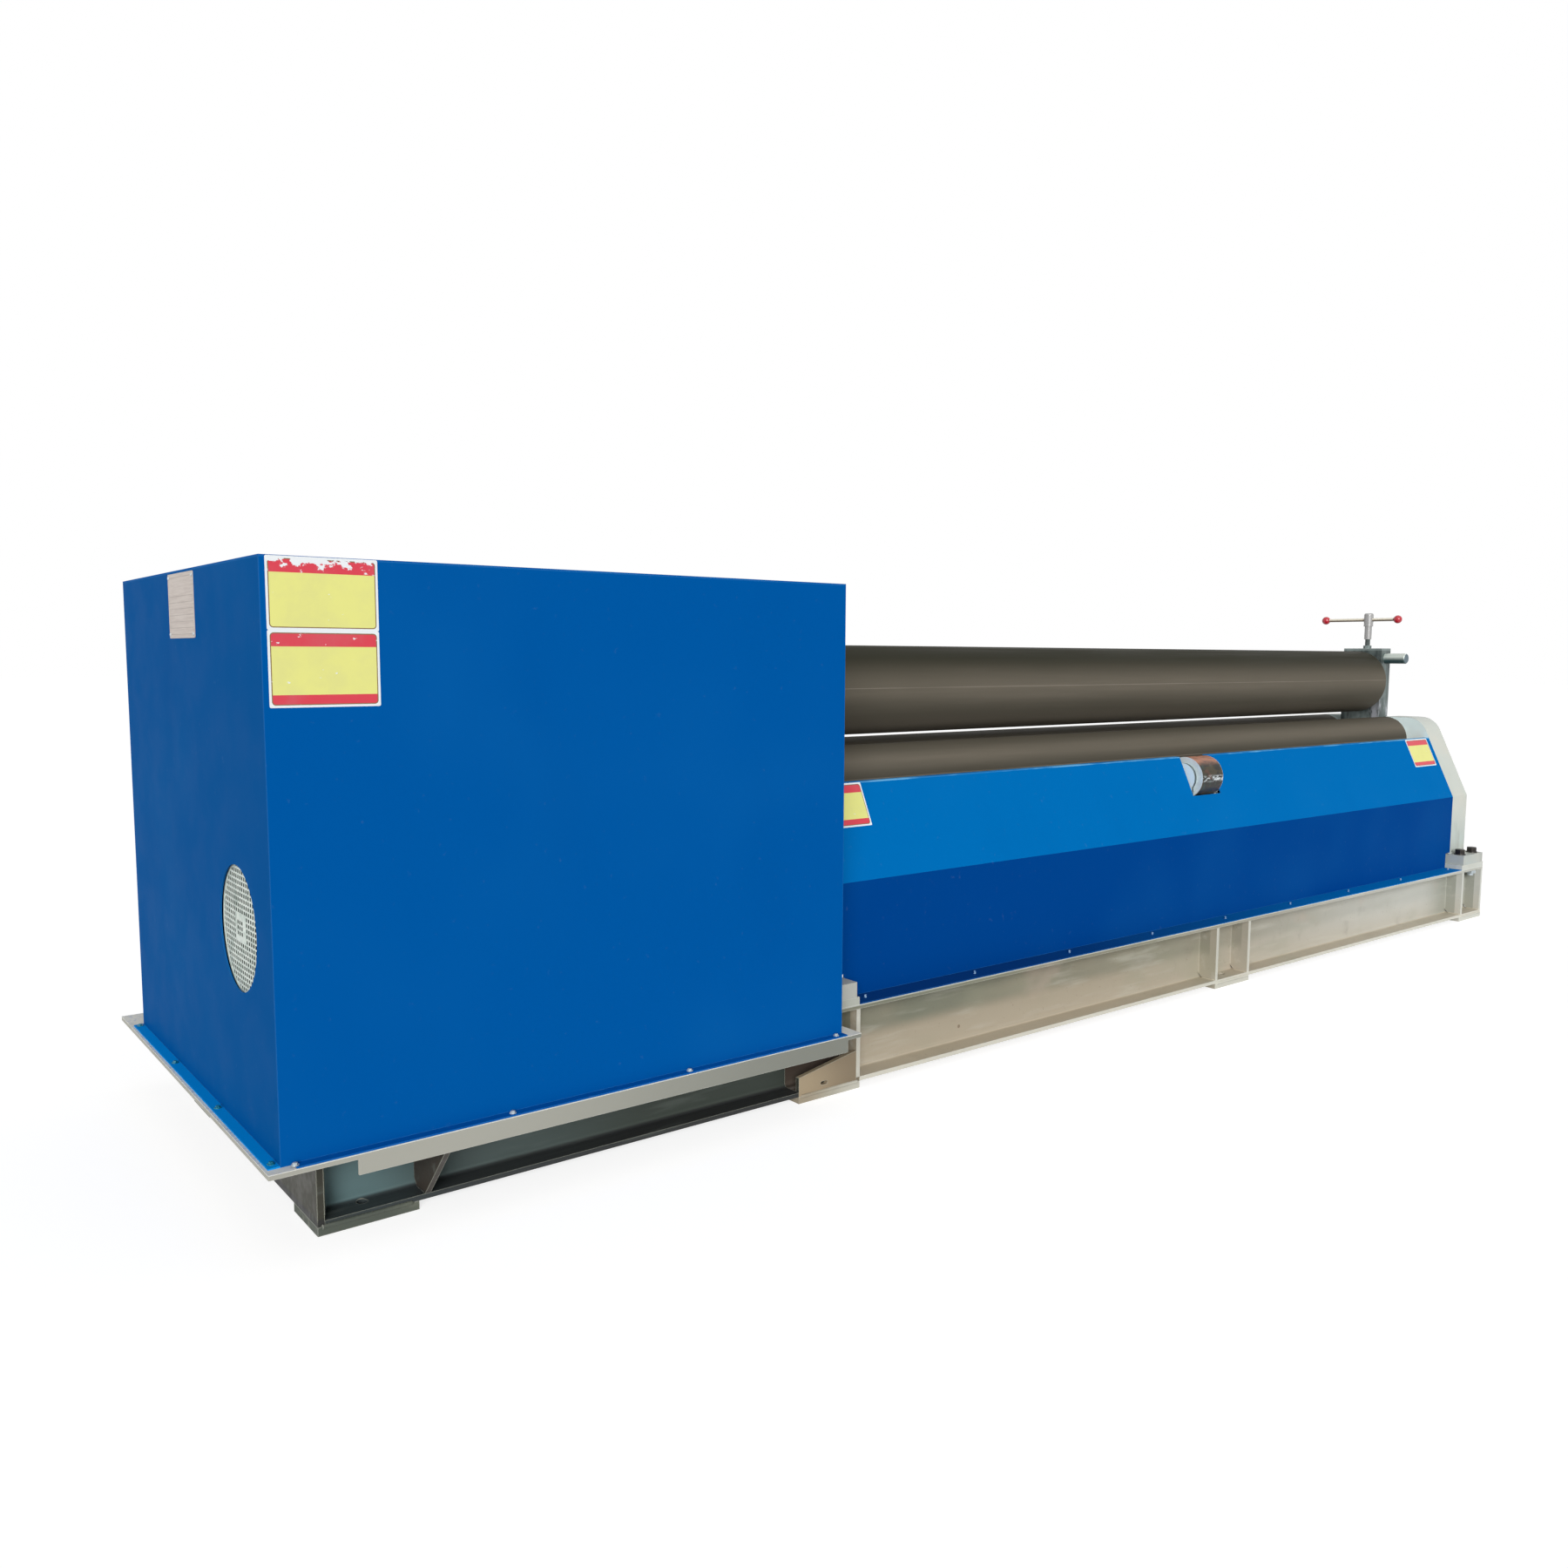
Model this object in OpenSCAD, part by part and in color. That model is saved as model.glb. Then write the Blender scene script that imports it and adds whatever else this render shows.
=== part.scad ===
// Three-roll plate bending machine: a welded bed with a drive housing at its left end,
// two end frames, two driven lower rolls and one upper roll that is raised and lowered by
// screws. The upper roll's right bearing tips outwards so that a closed shell can be drawn off.
// Millimetres. X runs along the rolls, -Y is the working side, Z = 0 is the floor.

/* [Overall] */
// Length of the three roll barrels
roll_l = 3250; // [1600:50:4000]
// Width of the bed over the outer edges of its two rails
bed_w = 926; // [900:2:1200]
// Distance from the left end frame to the feet at the drive end
drive_pitch = 1170; // [900:10:1500]

/* [Rolls] */
// Diameter of the upper roll
top_roll_d = 262; // [200:1:320]
// Diameter of each lower roll
low_roll_d = 187; // [150:1:220]
// Distance between the axes of the two lower rolls
roll_spacing = 278; // [240:1:340]
// Height of the lower roll axes above the bed rails
low_roll_h = 540; // [500:1:700]
// Height of the upper roll axis above the lower roll axes, at rest
top_roll_h = 243; // [230:1:320]
// Diameter of the upper roll's journals
top_journal_d = 96; // [70:1:110]
// Diameter of the lower rolls' journals
low_journal_d = 80; // [60:1:84]
// How far the journals reach past the left end frame, into the housing
journal_reach = 40; // [10:1:80]
// Free length between a barrel's end and its frame
roll_end_gap = 95; // [60:1:150]
// Running gap between a journal and its bearing
bearing_gap = 0.3; // [0.1:0.1:1]

/* [Feet and rails] */
// Length of a foot pad along the machine
pad_l = 200; // [150:5:260]
// Width of a foot pad across the machine
pad_w = 143; // [100:1:200]
// Thickness of a foot pad
pad_t = 18; // [10:1:30]
// Diameter of the anchor bolt holes
anchor_d = 22; // [14:1:30]
// Distance from a pad's outer edge to the middle of its anchor hole
anchor_inset = 41; // [30:1:42]
// Height of the bed rails
rail_h = 200; // [160:5:300]
// Flange width of the bed rails
rail_flange = 75; // [60:1:90]
// Height of the drive end rails
drive_rail_h = 160; // [120:5:200]
// Flange width of the drive end rails
drive_rail_flange = 65; // [50:1:80]
// Web thickness of every rail
rail_web = 9; // [6:1:14]
// Flange thickness of every rail
rail_edge = 11; // [8:1:16]
// Radius of the fillets between the rails' webs and flanges
rail_fillet = 10; // [4:1:14]
// Thickness of the stiffeners, ribs and gussets
rib_t = 12; // [8:1:20]
// Height of the ribs on the left frame's pads, at their low end
rib_low_h = 48; // [40:1:60]
// Height of those ribs at their high end
rib_top_h = 82; // [60:1:100]
// Length of the slot in each of those ribs
rib_slot_l = 22; // [12:1:40]
// Height of that slot
rib_slot_h = 9; // [6:1:14]
// Distance from a rib's low end to its slot's middle
rib_slot_x = 81; // [40:1:120]
// Height of the slot's middle above the pad
rib_slot_z = 20; // [12:1:30]
// Thickness of the plate that closes the drive end
end_plate_t = 14; // [8:1:25]

/* [End frames] */
// Thickness of an end frame
frame_t = 130; // [100:1:170]
// Length of an end frame's foot along the machine
frame_foot_l = 176; // [150:1:260]
// Thickness of an end frame's foot
frame_foot_t = 40; // [25:1:60]
// Length of the packing plate under a frame's foot
packing_l = 194; // [160:1:280]
// Thickness of the packing plate under a frame's foot
packing_t = 20; // [8:1:40]
// Height of the right end frame's flat top above the lower roll axes
frame_top_h = 90; // [80:1:120]
// Radius that blends a frame's slope into its top
frame_corner_r = 90; // [40:1:120]
// Half width of the slot between a frame's lower bearings
slot_half_w = 90; // [80:1:95]
// Height of the right end frame's slot above its foot
slot_h = 22; // [10:1:60]
// Half width of the left end frame's tower
tower_half_w = 170; // [140:1:220]

/* [Covers] */
// Sheet thickness of the covers and the housing
sheet_t = 3; // [2:0.5:5]
// Distance from the roll plane to a cover's upright face
cover_half_w = 395; // [370:1:420]
// Height of the fold between a cover's upright and sloping faces, above the bed rails
cover_fold_h = 302; // [240:1:360]
// Distance from the roll plane to a cover's top edge
cover_top_half_w = 281; // [270:1:320]
// Height of a cover's top edge above the lower roll axes
cover_top_h = 7; // [-10:1:20]
// Width of the hem along a cover's top edge
cover_hem = 20; // [8:1:24]
// Length of a cover's notch for the support roller
notch_l = 163; // [140:1:200]
// How far the notch ends above the bottom of the support roller
notch_lift = 12; // [-20:1:12]

/* [Support rollers] */
// Diameter of a support roller
support_d = 140; // [110:1:150]
// Slope down from a lower roll's axis to its support roller's axis, in degrees
support_angle = 23; // [15:1:35]
// Length of a support roller
support_l = 120; // [80:1:130]
// Diameter of a support roller's axle
support_axle_d = 30; // [20:1:40]
// Thickness of the cheeks that hold a support roller
cheek_t = 12; // [8:1:14]
// Height of the rim that a support roller shows beyond its cheeks
cheek_inset = 20; // [4:1:24]
// Distance from the support rollers' axes down to the centre pedestal's top
pedestal_drop = 84; // [78:1:120]

/* [Upper roll bearings] */
// Thickness of the tipping bearing along the machine
block_t = 78; // [70:1:100]
// Width of both upper bearings across the machine
block_w = 170; // [150:1:172]
// Height of the tipping bearing's top above the upper roll axis
block_top_h = 144; // [120:1:180]
// Distance from the right end frame's middle back to the tipping bearing's middle
block_offset = 80; // [60:1:90]
// Distance from the upper roll axis down to the tipping bearing's hinge pin
hinge_drop = 401; // [380:1:440]
// Diameter of the hinge pin
hinge_d = 30; // [20:1:40]
// Half width of the tongue that turns on the hinge pin
tongue_half_w = 50; // [35:1:55]
// Clearance around the journal that lets the bearing tip off it
tip_gap = 5; // [5:1:8]
// Height of the left bearing block
left_block_h = 220; // [180:1:240]
// Diameter of the lifting screws
lift_screw_d = 44; // [30:1:50]
// How far the upper roll can be lowered
lift_down = 60; // [20:1:60]
// How far the upper roll can be raised
lift_up = 40; // [20:1:60]

/* [Clamp screw] */
// Diameter of the clamp screw's thread
screw_d = 20; // [14:1:30]
// Diameter of the clamp screw's plain sleeve
sleeve_d = 29; // [22:1:36]
// Diameter of the clamp screw's hub
hub_d = 38; // [30:1:50]
// Height of the hub
hub_h = 57; // [40:1:80]
// Radius around the hub's top
hub_r = 8; // [3:1:12]
// Height of the collar below the hub's groove
hub_collar = 10; // [5:1:14]
// Depth of that groove
hub_groove = 1.5; // [0.5:0.5:3]
// Height of the cross bar above the tipping bearing
cross_bar_rise = 125; // [110:1:160]
// Diameter of the cross bar
cross_bar_d = 14; // [10:1:18]
// Distance between the two ball knobs
cross_bar_l = 324; // [250:5:400]
// How far the cross bar has slid to the back in its hub
cross_bar_shift = 34; // [0:1:60]
// Diameter of a ball knob
knob_d = 35; // [24:1:40]
// Diameter of the pull bar
pull_bar_d = 44; // [30:1:50]
// Free length of the pull bar
pull_bar_l = 90; // [60:1:140]
// Chamfer around the pull bar's free end
pull_bar_chamfer = 3; // [1:0.5:6]

/* [Drive housing] */
// Length of the housing
housing_l = 1320; // [1100:10:1600]
// Room on each side between the bed and the housing's walls
housing_side = 87; // [77:1:237]
// Height of the housing
housing_h = 1080; // [1040:5:1300]
// Width of the flange around the housing's foot
housing_flange = 22; // [15:1:30]
// Distance from the left end frame's middle to the housing's right wall
housing_reach = 38; // [20:1:60]
// Diameter of the round vent in the housing's left wall
vent_d = 243; // [180:1:300]
// Distance from the roll plane to the vent's middle
vent_y = 333; // [250:1:380]
// Height of the vent's middle
vent_z = 584; // [500:1:700]
// Thickness of the plate under the housing
deck_t = 10; // [6:1:16]
// Overhang of that plate beyond the housing's left wall
deck_side = 28; // [24:1:60]
// Overhang of that plate beyond the housing's front wall
deck_front = 24; // [23:1:60]
// Overhang of that plate beyond the housing's rear wall
deck_rear = 113; // [24:1:160]
// Height of the flat bar under the plate's front edge
edge_bar_h = 30; // [20:1:50]
// Thickness of that flat bar
edge_bar_t = 6; // [4:1:10]

/* [Hidden] */
$fn = 64;
// play between a moving piece and its guide, and the smallest overlap of a cut
play = 5;
cut = 1;

// places along the machine
frame_pitch = roll_l + 2 * roll_end_gap + frame_t;
x_right = (drive_pitch + frame_pitch) / 2;
x_drive = -x_right;
x_left = x_drive + drive_pitch;
x_mid = (x_left + x_right) / 2;
barrel_x = x_mid - roll_l / 2;
foot_x = [x_drive, x_left, x_mid, x_right];
block_x = x_right - block_offset;
screw_x = x_right - frame_t / 4;
beam_offset = (lift_screw_d + drive_rail_flange) / 2 + play;

// places across the machine
bed_half = bed_w / 2;
anchor_y = bed_half - anchor_inset;
roll_y = roll_spacing / 2;
block_half = block_w / 2;

// heights
rail_top = pad_t + rail_h;
low_roll_z = rail_top + low_roll_h;
top_roll_z = low_roll_z + top_roll_h;
cover_fold_z = rail_top + cover_fold_h;
cover_top_z = low_roll_z + cover_top_h;
block_top_z = top_roll_z + block_top_h;
hinge_z = top_roll_z - hinge_drop;
deck_z = pad_t + drive_rail_h;
house_z = deck_z + deck_t;
frame_foot_z = rail_top + packing_t;
frame_z = frame_foot_z + frame_foot_t;
frame_top_z = low_roll_z + frame_top_h;
slot_z = frame_z + slot_h;

// ends of the rails, the housing and the deck
rail_x0 = x_left - pad_l / 2;
rail_x1 = x_right + packing_l / 2;
drive_x0 = x_drive - pad_l / 2;
housing_d = bed_w + 2 * housing_side;
house_x1 = x_left - housing_reach;
house_x0 = house_x1 - housing_l;
deck_x0 = house_x0 - deck_side;
deck_x1 = x_left + play;
deck_y0 = -housing_d / 2 - deck_front;
deck_y1 = housing_d / 2 + deck_rear;

// slope of the covers and frames: a unit vector up the slope, and the turn onto the flat top
slope_y = cover_half_w - cover_top_half_w;
slope_z = cover_top_z - cover_fold_z;
slope_len = sqrt(slope_y * slope_y + slope_z * slope_z);
slope_u = [-slope_y / slope_len, slope_z / slope_len];
shoulder_y = cover_half_w - (frame_top_z - cover_fold_z) * slope_y / slope_z;
corner_run = frame_corner_r * tan((90 - atan(slope_y / slope_z)) / 2);

// support rollers
support_reach = (low_roll_d + support_d) / 2 + bearing_gap;
support_y = roll_y + support_reach * cos(support_angle);
support_z = low_roll_z - support_reach * sin(support_angle);
notch_z = support_z - support_d / 2 + notch_lift;
cheek_r = support_d / 2 - cheek_inset;
pedestal_z = support_z - pedestal_drop;

// upper roll bearings
left_block_z = top_roll_z - left_block_h / 2;
window_z0 = left_block_z - lift_down - play;
window_z1 = left_block_z + left_block_h + lift_up + play;
tower_top_z = window_z1 + play + 40;
screw_foot_z = rail_top - play;
carriage_z0 = slot_z + lift_down + play;
ear_r = block_t / 2;
cheek_x = support_l / 2 + play;
cross_bar_z = block_top_z + cross_bar_rise;
nut_h = 13;
sleeve_z = block_top_z + 40;

paint_blue = [0.0, 0.33, 0.65];
paint_grey = [0.72, 0.73, 0.69];
paint_white = [0.86, 0.89, 0.86];
roll_steel = [0.30, 0.28, 0.25];
bright_steel = [0.66, 0.68, 0.67];
dark_steel = [0.36, 0.40, 0.40];

// ---- shared shapes ----

// Draws its outline, given in Y and Z, from x0 over a length along X.
module along_x(x0, length) {
    translate([x0, 0, 0]) rotate([90, 0, 90]) linear_extrude(length) children();
}

// Draws its children on both sides of the roll plane.
module both_sides() {
    children();
    mirror([0, 1, 0]) children();
}

// A cylinder along X.
module bar_x(x0, length, d) {
    translate([x0, 0, 0]) rotate([0, 90, 0]) cylinder(d = d, h = length);
}

// The section of a rolled channel, open to the left, with fillets beside its web.
module channel(flange, height) {
    depth = flange - rail_web;
    difference() {
        square([flange, height]);
        translate([-cut, rail_edge]) square([depth - rail_fillet + cut, height - 2 * rail_edge]);
        translate([0, rail_edge + rail_fillet])
            square([depth, height - 2 * (rail_edge + rail_fillet)]);
        for (z = [rail_edge + rail_fillet, height - rail_edge - rail_fillet])
            translate([depth - rail_fillet, z]) circle(rail_fillet);
    }
}

// A plate that fits into a channel, with its two inner corners cut off to clear the fillets.
module channel_plate(flange, height) {
    depth = flange - rail_web;
    snipe = rail_fillet + play;
    polygon([
        [0, rail_edge], [depth - snipe, rail_edge], [depth, rail_edge + snipe],
        [depth, height - rail_edge - snipe], [depth - snipe, height - rail_edge],
        [0, height - rail_edge]
    ]);
}

// A channel rail on the working side, its web inside and its flanges to the outside.
module rail(x0, length, height, flange) {
    along_x(x0, length) translate([-bed_half, pad_t]) channel(flange, height);
}

// The room that an end frame's outline takes, seen along X, with its upper corners rounded.
module frame_outline(grow) {
    corner = [shoulder_y, frame_top_z];
    low_tangent = corner - slope_u * corner_run;
    top_tangent = corner - [corner_run, 0];
    for (side = [0, 1]) mirror([side, 0]) {
        polygon([
            [0, frame_foot_z - grow], [cover_half_w + grow, frame_foot_z - grow],
            [cover_half_w + grow, cover_fold_z], [low_tangent.x + grow, low_tangent.y],
            [top_tangent.x, top_tangent.y + grow], [0, frame_top_z + grow]
        ]);
        translate(top_tangent - [0, frame_corner_r]) circle(frame_corner_r + grow);
    }
}

// The bores of the two lower bearings, seen along X.
module low_bores() {
    for (side = [-1, 1])
        translate([side * roll_y, low_roll_z]) circle(d = low_journal_d + 2 * bearing_gap);
}

// The foot of an end frame, drilled for its lifting screw.
module frame_foot(x) {
    translate([x - frame_foot_l / 2, -bed_half, frame_foot_z])
        cube([frame_foot_l, bed_w, frame_foot_t]);
}

// A vertical bore for a lifting screw: a running fit in the foot, and wider above it.
module screw_bore(x, top) {
    translate([x, 0, rail_top]) cylinder(d = lift_screw_d + 2 * bearing_gap, h = top - rail_top);
    translate([x, 0, frame_z]) cylinder(d = lift_screw_d + 2 * play, h = top - frame_z);
}

// ---- feet and bed ----

module foot_pads() {
    color(paint_grey) for (x = foot_x) both_sides() difference() {
        translate([x - pad_l / 2, -bed_half, 0]) cube([pad_l, pad_w, pad_t]);
        translate([x, -anchor_y, -cut]) cylinder(d = anchor_d, h = pad_t + 2 * cut);
    }
}

// A bed rail, cut back at its left foot so that the rib stands on the pad, and drilled.
module bed_rail() {
    color(paint_grey) difference() {
        rail(rail_x0, rail_x1 - rail_x0, rail_h, rail_flange);
        translate([rail_x0 - cut, -bed_half - cut, pad_t - cut])
            cube([pad_l + cut, rib_t + cut, rail_edge + 2 * cut]);
        for (x = [x_left, x_mid, x_right])
            translate([x, -anchor_y, 0]) cylinder(d = anchor_d, h = pad_t + rail_edge + cut);
    }
}

module bed_rail_front() { bed_rail(); }

module bed_rail_rear() { mirror([0, 1, 0]) bed_rail(); }

module drive_rail() {
    x0 = drive_x0 + end_plate_t;
    color(paint_grey) difference() {
        rail(x0, rail_x0 - x0, drive_rail_h, drive_rail_flange);
        translate([x_drive, -anchor_y, 0]) cylinder(d = anchor_d, h = pad_t + rail_edge + cut);
    }
}

module drive_rail_front() { drive_rail(); }

module drive_rail_rear() { mirror([0, 1, 0]) drive_rail(); }

// The channel across the drive end: its web closes the rails, its flanges lie between them.
module drive_end_beam() {
    inside = bed_half - drive_rail_flange;
    color(paint_grey) {
        translate([drive_x0, -bed_half, pad_t]) cube([end_plate_t, bed_w, drive_rail_h]);
        for (z = [pad_t, deck_z - rail_edge])
            translate([drive_x0, -inside, z])
                cube([drive_rail_flange, 2 * inside, rail_edge]);
    }
}

// Channels between the rails: one beside each lifting screw, one amidships and one under the deck.
module cross_beams() {
    inside = bed_half - rail_flange;
    deck_inside = bed_half - drive_rail_flange;
    color(paint_grey) {
        for (x = [x_left - beam_offset, x_mid, screw_x + beam_offset]) cross_beam(x, inside, rail_h);
        cross_beam((x_drive + x_left) / 2, deck_inside, drive_rail_h);
    }
}

module cross_beam(x, inside, height) {
    translate([x, inside, pad_t]) rotate([90, 0, 0]) linear_extrude(2 * inside)
        translate([drive_rail_flange / 2, 0]) mirror([1, 0]) channel(drive_rail_flange, height);
}

// Plates that close the bed rails' channels at the ends of the feet.
module rail_stiffeners() {
    plates = [
        x_left + pad_l / 2 - rib_t, x_mid - pad_l / 2, x_mid + pad_l / 2 - rib_t,
        x_right - frame_foot_l / 2, rail_x1 - rib_t
    ];
    color(paint_grey) for (x = plates) both_sides()
        along_x(x, rib_t) translate([-bed_half, pad_t]) channel_plate(rail_flange, rail_h);
}

// Upright plates on the left frame's pads and below the deck.
module gusset_plates() {
    foot_ribs();
    deck_gussets();
}

// Upright ribs with a sloping top on the pads below the left end frame.
module foot_ribs() {
    length = pad_l - rib_t;
    color(paint_grey) both_sides()
        translate([rail_x0, -bed_half + rib_t, pad_t]) rotate([90, 0, 0]) linear_extrude(rib_t)
            difference() {
                polygon([[0, 0], [length, 0], [length, rib_top_h], [0, rib_low_h]]);
                translate([rib_slot_x, rib_slot_z]) slot(rib_slot_l, rib_slot_h);
            }
}

// A slot with round ends, centred, seen from the front.
module slot(length, height) {
    run = (length - height) / 2;
    square([2 * run, height], center = true);
    for (side = [-1, 1]) translate([side * run, 0]) circle(d = height);
}

// Gussets that carry the deck's overhang, beside the feet at the drive end.
module deck_gussets() {
    toe = -deck_y0 - edge_bar_t;
    color(paint_grey) both_sides() along_x(x_drive + pad_l / 2 + rib_t, rib_t) {
        translate([-bed_half, pad_t]) channel_plate(drive_rail_flange, drive_rail_h);
        polygon([
            [-bed_half, pad_t + rail_edge], [-toe, deck_z - edge_bar_h], [-toe, deck_z],
            [-bed_half, deck_z]
        ]);
    }
}

// The floor of the drive housing with its edge bar, welded together.
module deck_plate() {
    deck_sheet();
    deck_edge_bar();
}

// The plate that carries the housing; two tongues run on beside the bed rails.
module deck_sheet() {
    color(paint_white) {
        translate([deck_x0, deck_y0, deck_z]) cube([rail_x0 - deck_x0, deck_y1 - deck_y0, deck_t]);
        translate([rail_x0, deck_y0, deck_z])
            cube([deck_x1 - rail_x0, -bed_half - deck_y0, deck_t]);
        translate([rail_x0, bed_half, deck_z])
            cube([deck_x1 - rail_x0, deck_y1 - bed_half, deck_t]);
    }
}

module deck_edge_bar() {
    x0 = drive_x0 + 2 * housing_flange;
    color(paint_white) translate([x0, deck_y0, deck_z - edge_bar_h])
        cube([house_x1 - x0, edge_bar_t, edge_bar_h]);
}

module packing_plates() {
    color(paint_grey) for (x = [x_left, x_right]) both_sides()
        translate([x - packing_l / 2, -bed_half, rail_top]) cube([packing_l, rail_flange, packing_t]);
}

// ---- end frames ----

module left_frame() {
    color(paint_white) difference() {
        union() {
            frame_foot(x_left);
            along_x(x_left - frame_t / 2, frame_t) difference() {
                union() {
                    frame_outline(0);
                    translate([-tower_half_w, frame_z])
                        square([2 * tower_half_w, tower_top_z - frame_z]);
                }
                low_bores();
                translate([-slot_half_w, window_z0])
                    square([2 * slot_half_w, window_z1 - window_z0]);
            }
        }
        screw_bore(x_left, window_z0 + cut);
    }
}

module right_frame() {
    color(paint_white) difference() {
        union() {
            frame_foot(x_right);
            along_x(x_right - frame_t / 2, frame_t) difference() {
                frame_outline(0);
                low_bores();
                translate([-slot_half_w, slot_z])
                    square([2 * slot_half_w, frame_top_z - slot_z + cut]);
            }
        }
        screw_bore(screw_x, slot_z + cut);
    }
}

module bearing_caps() {
    cap_d = low_journal_d + 14;
    color(bright_steel) for (side = [-1, 1])
        translate([0, side * roll_y, low_roll_z]) bar_x(x_right + frame_t / 2, rib_t, cap_d);
}

// ---- covers ----

// A folded cover on the working side, notched at its top for the support roller.
module cover() {
    x0 = x_left + frame_t / 2;
    length = frame_pitch - frame_t;
    normal = [slope_u.y, -slope_u.x];
    fold_in = sheet_t * tan((atan(slope_y / slope_z)) / 2);
    color(paint_blue) difference() {
        along_x(x0, length) mirror([1, 0]) polygon([
            [bed_half, rail_top], [bed_half, rail_top + sheet_t],
            [cover_half_w, rail_top + sheet_t], [cover_half_w, cover_fold_z],
            [cover_top_half_w, cover_top_z], [cover_top_half_w - cover_hem, cover_top_z],
            [cover_top_half_w - cover_hem, cover_top_z - sheet_t],
            [cover_top_half_w - sheet_t, cover_top_z - sheet_t],
            [cover_half_w - sheet_t, cover_fold_z - fold_in],
            [cover_half_w - sheet_t, rail_top]
        ]);
        translate([x_mid - notch_l / 2, -cover_half_w, notch_z])
            cube([notch_l, cover_half_w, cover_top_z - notch_z + cut]);
        frame_flange_cuts();
    }
}

// The cover's foot flange stops short of the frame feet and their packing plates.
module frame_flange_cuts() {
    half = max(packing_l, frame_foot_l) / 2 + play;
    for (x = [x_left, x_right])
        translate([x - half, -bed_half - cut, rail_top - cut])
            cube([2 * half, bed_w, packing_t + frame_foot_t + play]);
}

module front_cover() { cover(); }

module rear_cover() { mirror([0, 1, 0]) cover(); }

// ---- support rollers ----

// A web on the middle cross beam, with a head that carries the roller brackets.
module centre_pedestal() {
    head = 2 * (cheek_x + cheek_t);
    reach = support_y + 40;
    color(paint_grey) {
        translate([x_mid - rib_t / 2, -reach + rib_t, rail_top])
            cube([rib_t, 2 * (reach - rib_t), pedestal_z - rib_t - rail_top]);
        translate([x_mid - head / 2, -reach, pedestal_z - rib_t]) cube([head, 2 * reach, rib_t]);
    }
}

module support_brackets() {
    foot = 40;
    color(paint_white) both_sides() for (side = [-1, 1])
        along_x(x_mid + side * (cheek_x + cheek_t / 2) - cheek_t / 2, cheek_t) difference() {
            union() {
                translate([-support_y, support_z]) circle(cheek_r);
                translate([-support_y - foot, pedestal_z])
                    square([2 * foot, support_z - pedestal_z]);
            }
            translate([-support_y, support_z]) circle(d = support_axle_d);
        }
}

module support_axles() {
    length = 2 * (cheek_x + cheek_t);
    color(bright_steel) for (side = [-1, 1]) translate([0, side * support_y, support_z])
        bar_x(x_mid - length / 2, length, support_axle_d);
}

module support_roller() {
    color(dark_steel) translate([0, -support_y, support_z]) difference() {
        bar_x(x_mid - support_l / 2, support_l, support_d);
        bar_x(x_mid - support_l / 2 - cut, support_l + 2 * cut, support_axle_d + 2 * bearing_gap);
    }
}

module front_support_roller() { support_roller(); }

module rear_support_roller() { mirror([0, 1, 0]) support_roller(); }

// ---- drive housing ----

wall_h = housing_h - sheet_t;
house_half = housing_d / 2;

// The long wall on the working side, with its foot flange turned outwards.
module housing_long_wall() {
    color(paint_blue) {
        translate([house_x0, -house_half, house_z]) cube([housing_l, sheet_t, wall_h]);
        translate([house_x0 + housing_flange, -house_half - housing_flange, house_z])
            cube([housing_l - housing_flange, housing_flange, sheet_t]);
    }
}

module housing_front() { housing_long_wall(); }

module housing_rear() { mirror([0, 1, 0]) housing_long_wall(); }

module housing_left_end() {
    inside = house_half - sheet_t;
    color(paint_blue) {
        difference() {
            translate([house_x0, -inside, house_z]) cube([sheet_t, 2 * inside, wall_h]);
            translate([0, -vent_y, vent_z]) bar_x(house_x0 - cut, sheet_t + 2 * cut, vent_d);
        }
        translate([house_x0 - housing_flange, -house_half, house_z])
            cube([housing_flange, housing_d, sheet_t]);
    }
}

// The wall beside the rolls, cut out around the left end frame and its foot.
module housing_right_end() {
    inside = house_half - sheet_t;
    color(paint_blue) along_x(house_x1 - sheet_t, sheet_t) difference() {
        translate([-inside, house_z]) square([2 * inside, wall_h]);
        frame_outline(play);
        translate([-bed_half - play, house_z - cut])
            square([bed_w + 2 * play, frame_z + play - house_z + cut]);
        translate([-tower_half_w - play, frame_z])
            square([2 * (tower_half_w + play), tower_top_z + play - frame_z]);
    }
}

module housing_top() {
    color(paint_blue) translate([house_x0, -house_half, house_z + wall_h])
        cube([housing_l, housing_d, sheet_t]);
}

// The drive motor, of which only the fan cover shows, through the vent.
motor_d = vent_d + 16;
motor_l = 320;
motor_x = house_x0 + sheet_t + play;
fan_cover_l = 75;

module motor_fan_cover() {
    color(paint_grey) translate([0, -vent_y, vent_z]) bar_x(motor_x, fan_cover_l, motor_d);
}

module motor() {
    color(dark_steel) translate([0, -vent_y, vent_z])
        bar_x(motor_x + fan_cover_l, motor_l, motor_d - 2 * cheek_t);
}

module motor_stand() {
    half = motor_d / 4;
    drop = sqrt(pow(motor_d / 2 - cheek_t, 2) - half * half);
    color(dark_steel) difference() {
        translate([motor_x + fan_cover_l + cheek_t, -vent_y - half, house_z])
            cube([motor_l - 2 * cheek_t, 2 * half, vent_z - drop - house_z]);
        translate([0, -vent_y, vent_z])
            bar_x(motor_x, 2 * motor_l, motor_d - 2 * cheek_t);
    }
}

// ---- rolls ----

// The two journals at a roll's ends.
module journals(d, left_reach, right_reach) {
    bar_x(barrel_x - left_reach, left_reach, d);
    bar_x(barrel_x + roll_l, right_reach, d);
}

module front_lower_roll() {
    color(roll_steel) translate([0, -roll_y, low_roll_z]) bar_x(barrel_x, roll_l, low_roll_d);
}

module rear_lower_roll() { mirror([0, 1, 0]) front_lower_roll(); }

module upper_roll() {
    color(roll_steel) translate([0, 0, top_roll_z]) bar_x(barrel_x, roll_l, top_roll_d);
}

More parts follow.
